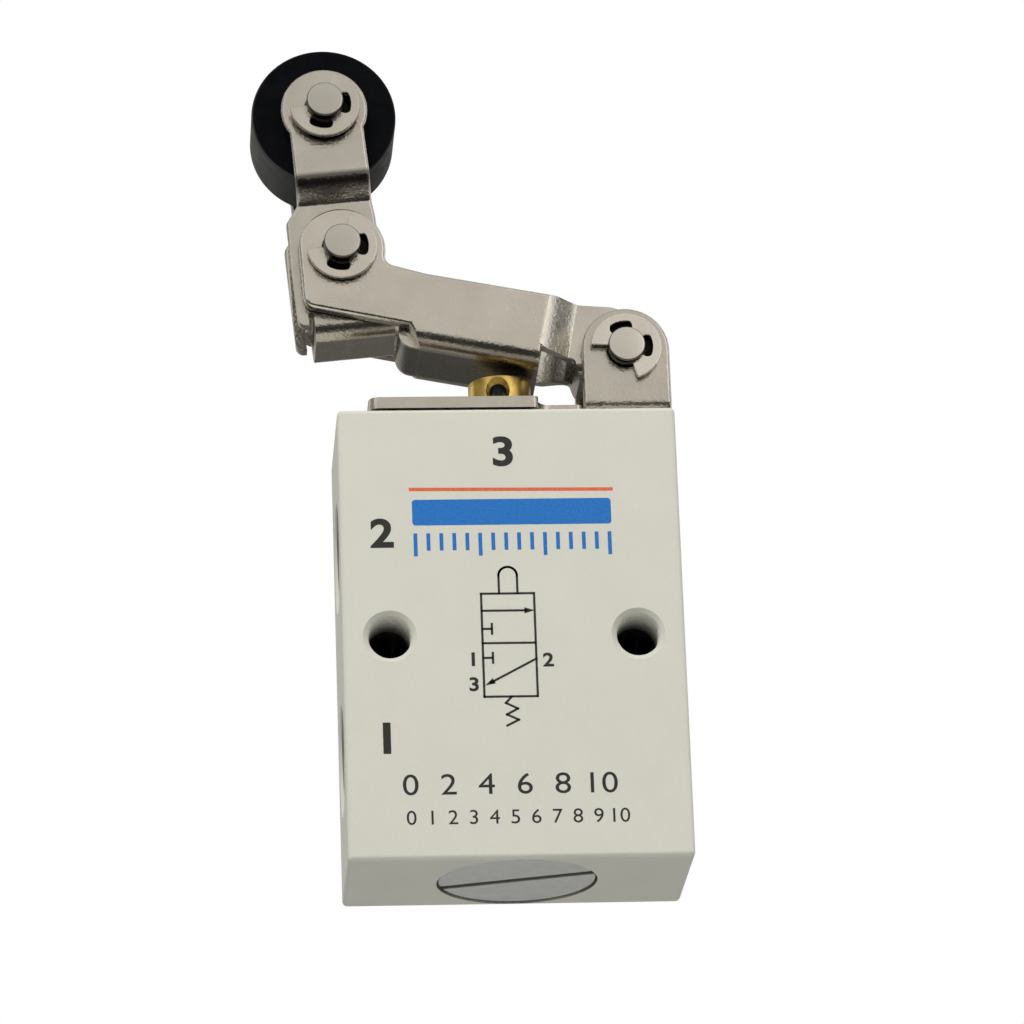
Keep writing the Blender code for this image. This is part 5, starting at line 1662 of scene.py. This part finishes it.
def number(text, right, up, height, ink, name, wide=1.0, bold=0.0):
    """A printed text; wide stretches it sideways, bold thickens its strokes by so many millimetres."""
    made = add(name, bpy.ops.object.text_add, rotation=FRONT_TO_BACK)
    made.data.body = text
    made.data.size = height / 0.70 * MM
    made.data.align_x = "CENTER"
    made.data.align_y = "CENTER"
    made.data.extrude = 0.011 * MM
    made.data.offset = bold * MM
    made.scale.x = wide
    made.location = on_front(right, up, (INK_BACK + INK_FRONT) / 2)
    bpy.ops.object.convert(target="MESH")
    made = bpy.context.active_object
    still(made)
    edit(made)
    bpy.ops.mesh.select_all(action="SELECT")
    bpy.ops.mesh.remove_doubles(threshold=1e-7)
    face_outwards(made)
    made.data.materials.append(ink)
    return made


PORT_NUMBERS = [("3", -0.57, 22.55, 3.5), ("2", -15.10, 12.48, 3.4), ("1", -15.18, -12.60, 3.6)]
SMALL_NUMBERS = [("1", -4.90, -3.03, 1.6), ("3", -4.88, -6.08, 1.6), ("2", 3.85, -3.20, 1.6)]
numbers = [number(text, x, z, size, BLACK_INK, "n", 1.15, 0.14) for text, x, z, size in PORT_NUMBERS]
numbers += [number(text, x, z, size, BLACK_INK, "n", 1.15, 0.06) for text, x, z, size in SMALL_NUMBERS]
finish(join("port_numbers", numbers), "housing", BLACK_INK)
scale_rows = [number(str(2 * i), -12.6 + 4.4 * i, -18.2, 2.5, BLACK_INK, "s", 1.15) for i in range(6)]
scale_rows += [number(str(i), -12.6 + 2.4 * i, -22.1, 1.7, BLACK_INK, "s", 1.05) for i in range(11)]
finish(join("number_rows", scale_rows), "housing", BLACK_INK)

# %% [markdown]
# ## Coloured bands
#
# Between the port numbers lie an orange line, a broad blue band and a row of blue ticks, as on a ruler:
# plain shapes in the colours of the print.

# %% Orange line, blue band and ticks


def bar(low, high, corner=0.25):
    (x0, z0), (x1, z1) = low, high
    return rounded([(x0, z0, corner), (x1, z0, corner), (x1, z1, corner), (x0, z1, corner)], 4)


orange_line = printed("orange_line", line((-11.6, 18.1), (12.0, 17.9), 0.42), ORANGE_INK)
finish(orange_line, "housing", ORANGE_INK)
blue_band = printed("blue_band", bar((-11.5, 13.6), (11.9, 16.8), 0.4), BLUE_INK)
finish(blue_band, "housing", BLUE_INK)
ticks = []
for i in range(16):
    x, low = -11.2 + 1.52 * i, 10.7 if i % 5 else 10.0
    ticks.append(printed("tick", line((x, 12.4), (x, low), 0.45), BLUE_INK))
finish(join("blue_ticks", ticks), "housing", BLUE_INK)

# %% [markdown]
# ## Floor
#
# The floor is pale and lies well below the valve. The camera looks up at the valve, so a floor close under
# it would hide it. White paint alone would look grey in the picture. The floor also glows, but only for
# the camera: a Light Path node tells which kind of ray is asking.

# %% A floor that glows for the camera
FLOOR_HEIGHT = -0.30
FLOOR_GLOW = 0.6


def ray_share(tree, *rays):
    """1 for rays of the named kinds, and 0 for all others."""
    kinds = add_node(tree, "LightPath").outputs
    share = kinds[rays[0]]
    for ray in rays[1:]:
        share = add_node(tree, "Math", {0: share, 1: kinds[ray]}, operation="MAXIMUM").outputs["Value"]
    return share


def make_floor():
    plane = bpy.ops.mesh.primitive_plane_add
    made = add("floor", plane, size=8.0, location=(0.0, 0.0, FLOOR_HEIGHT))
    look = Finish("floor", (0.50, 0.50, 0.50), 0.0, 0.9)
    look.shader.inputs["Emission Color"].default_value = (1.0, 1.0, 1.0, 1.0)
    seen = ray_share(look.tree, "Is Camera Ray", "Is Transmission Ray")
    glow = look.node("Math", {0: seen, 1: FLOOR_GLOW}, operation="MULTIPLY")
    look.drive("Emission Strength", glow.outputs["Value"])
    made.data.materials.append(look.material)
    made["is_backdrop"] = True


make_floor()
print("floor at", FLOOR_HEIGHT, "m")

# %% [markdown]
# ## World and lamps
#
# The world could be one plain grey. Here it is white to the camera and to reflections, and a softer grey to
# everything else, so the paint renders about as its colour is written. Three area lamps give the shadows a
# direction. They are hidden from reflections, where a square lamp would show as a hard white patch.

# %% World and lamps
WORLD_DIM = 0.53


def make_world():
    world = bpy.data.worlds.new("studio")
    bpy.context.scene.world = world
    world.use_nodes = True
    tree = world.node_tree
    back = tree.nodes["Background"]
    back.inputs["Color"].default_value = (1.0, 1.0, 1.0, 1.0)
    seen = ray_share(tree, "Is Camera Ray", "Is Glossy Ray", "Is Transmission Ray")
    glow = add_node(tree, "MapRange", {"Value": seen, "To Min": WORLD_DIM, "To Max": 1.0})
    tree.links.new(glow.outputs["Result"], back.inputs["Strength"])


def lamp(name, place, power, size):
    """An area lamp that looks at the valve."""
    made = add(name, bpy.ops.object.light_add, type="AREA", location=place)
    made.data.energy = power
    made.data.size = size
    made.visible_glossy = False
    aim = Vector((0.0, -0.01, 0.02)) - Vector(place)
    made.rotation_euler = aim.to_track_quat("-Z", "Y").to_euler()


make_world()
lamp("key_lamp", (-0.35, -0.75, 0.75), 8.0, 0.5)
lamp("side_lamp", (0.8, -0.3, 0.5), 2.0, 0.4)
lamp("back_lamp", (0.1, 0.8, 0.6), 5.0, 0.5)

# %% [markdown]
# ## Cards
#
# Metal shows what stands around it. In an all-white room it looks like paper, so photographers hang grey
# and dark cards where the bends should go dark. A card shines with its own even tone, and only the
# reflections see it. The bends that face down and forwards mirror the dark card, and turn black there.

# %% Cards for the reflections


def card(name, place, width, height, turn, tone):
    """An evenly lit rectangle; turn is in degrees."""
    made = add(name, bpy.ops.mesh.primitive_plane_add, size=1.0)
    made.scale = (width, height, 1.0)
    made.location = place
    made.rotation_euler = [math.radians(angle) for angle in turn]
    look = Finish(name, (0.0, 0.0, 0.0), 0.0, 1.0)
    look.shader.inputs["Specular IOR Level"].default_value = 0.0
    look.shader.inputs["Emission Color"].default_value = (1.0, 0.97, 0.92, 1.0)
    look.shader.inputs["Emission Strength"].default_value = tone
    made.data.materials.append(look.material)
    made.visible_camera = False
    made.visible_diffuse = False
    made.visible_shadow = False
    made.visible_transmission = False
    made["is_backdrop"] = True


LYING, UPRIGHT, SIDEWAYS = (0, 0, 0), (90, 0, 0), (90, 0, 90)
card("table_card", (0.0, 0.475, -0.26), 2.4, 1.45, LYING, 0.16)
card("below_card", (0.0, -0.02, -0.25), 1.2, 0.28, LYING, 0.95)
card("dark_table_card", (0.0, -0.52, -0.26), 2.4, 0.54, LYING, 0.03)
card("dark_card", (0.0, -0.72, -0.14), 1.6, 0.26, UPRIGHT, 0.03)
card("front_card", (-0.10, -0.70, 0.30), 0.72, 0.62, UPRIGHT, 0.74)
card("bright_strip", (0.55, -0.70, 0.30), 0.56, 0.60, UPRIGHT, 1.4)
card("right_card", (0.90, -0.26, 0.33), 0.32, 1.2, SIDEWAYS, 0.14)
card("right_far_card", (0.90, 0.03, 0.33), 0.26, 1.2, SIDEWAYS, 1.0)
card("left_card", (-0.90, -0.10, 0.33), 1.0, 1.2, SIDEWAYS, 0.35)
card("back_card", (0.0, 0.95, 0.43), 1.9, 1.0, UPRIGHT, 0.46)
card("low_back_card", (0.0, 0.95, -0.17), 1.9, 0.20, UPRIGHT, 0.08)
card("top_card", (0.0, 0.0, 0.95), 1.6, 1.6, LYING, 0.65)

# %% [markdown]
# ## Camera
#
# The photograph was taken from slightly below and to the left, from more than half a metre away with a
# long lens. The fitted place and direction are set as a matrix, so the block's corners land on those
# in the picture.

# %% Camera


def make_camera():
    made = add("photo_camera", bpy.ops.object.camera_add)
    right = Vector((0.99732, -0.06450, -0.03450))
    up = Vector((0.01081, -0.33655, 0.94160))
    ahead = Vector((0.07234, 0.93945, 0.33495))
    turn = Matrix((right, up, -ahead)).transposed().to_4x4()
    made.matrix_world = Matrix.Translation(Vector((-46.06, -621.25, -199.21)) * MM) @ turn
    made.data.lens = 191.84
    made.data.sensor_width = 36.0
    made.data.clip_start = 0.01
    bpy.context.scene.camera = made
    return made


camera = make_camera()
bpy.context.scene.view_settings.view_transform = "Standard"
print("camera at", [round(c, 3) for c in camera.location])

# %% [markdown]
# ## Size
#
# The dressed valve must be exactly as big as the packed one. Its box is measured, and how much it has
# grown against the packed one's box is printed.

# %% Compare the sizes and finish
visual_low, visual_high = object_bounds()
growth = (visual_high - visual_low) - (cad_high - cad_low)
print("grown by, in mm:", [round(g / MM, 3) for g in growth])
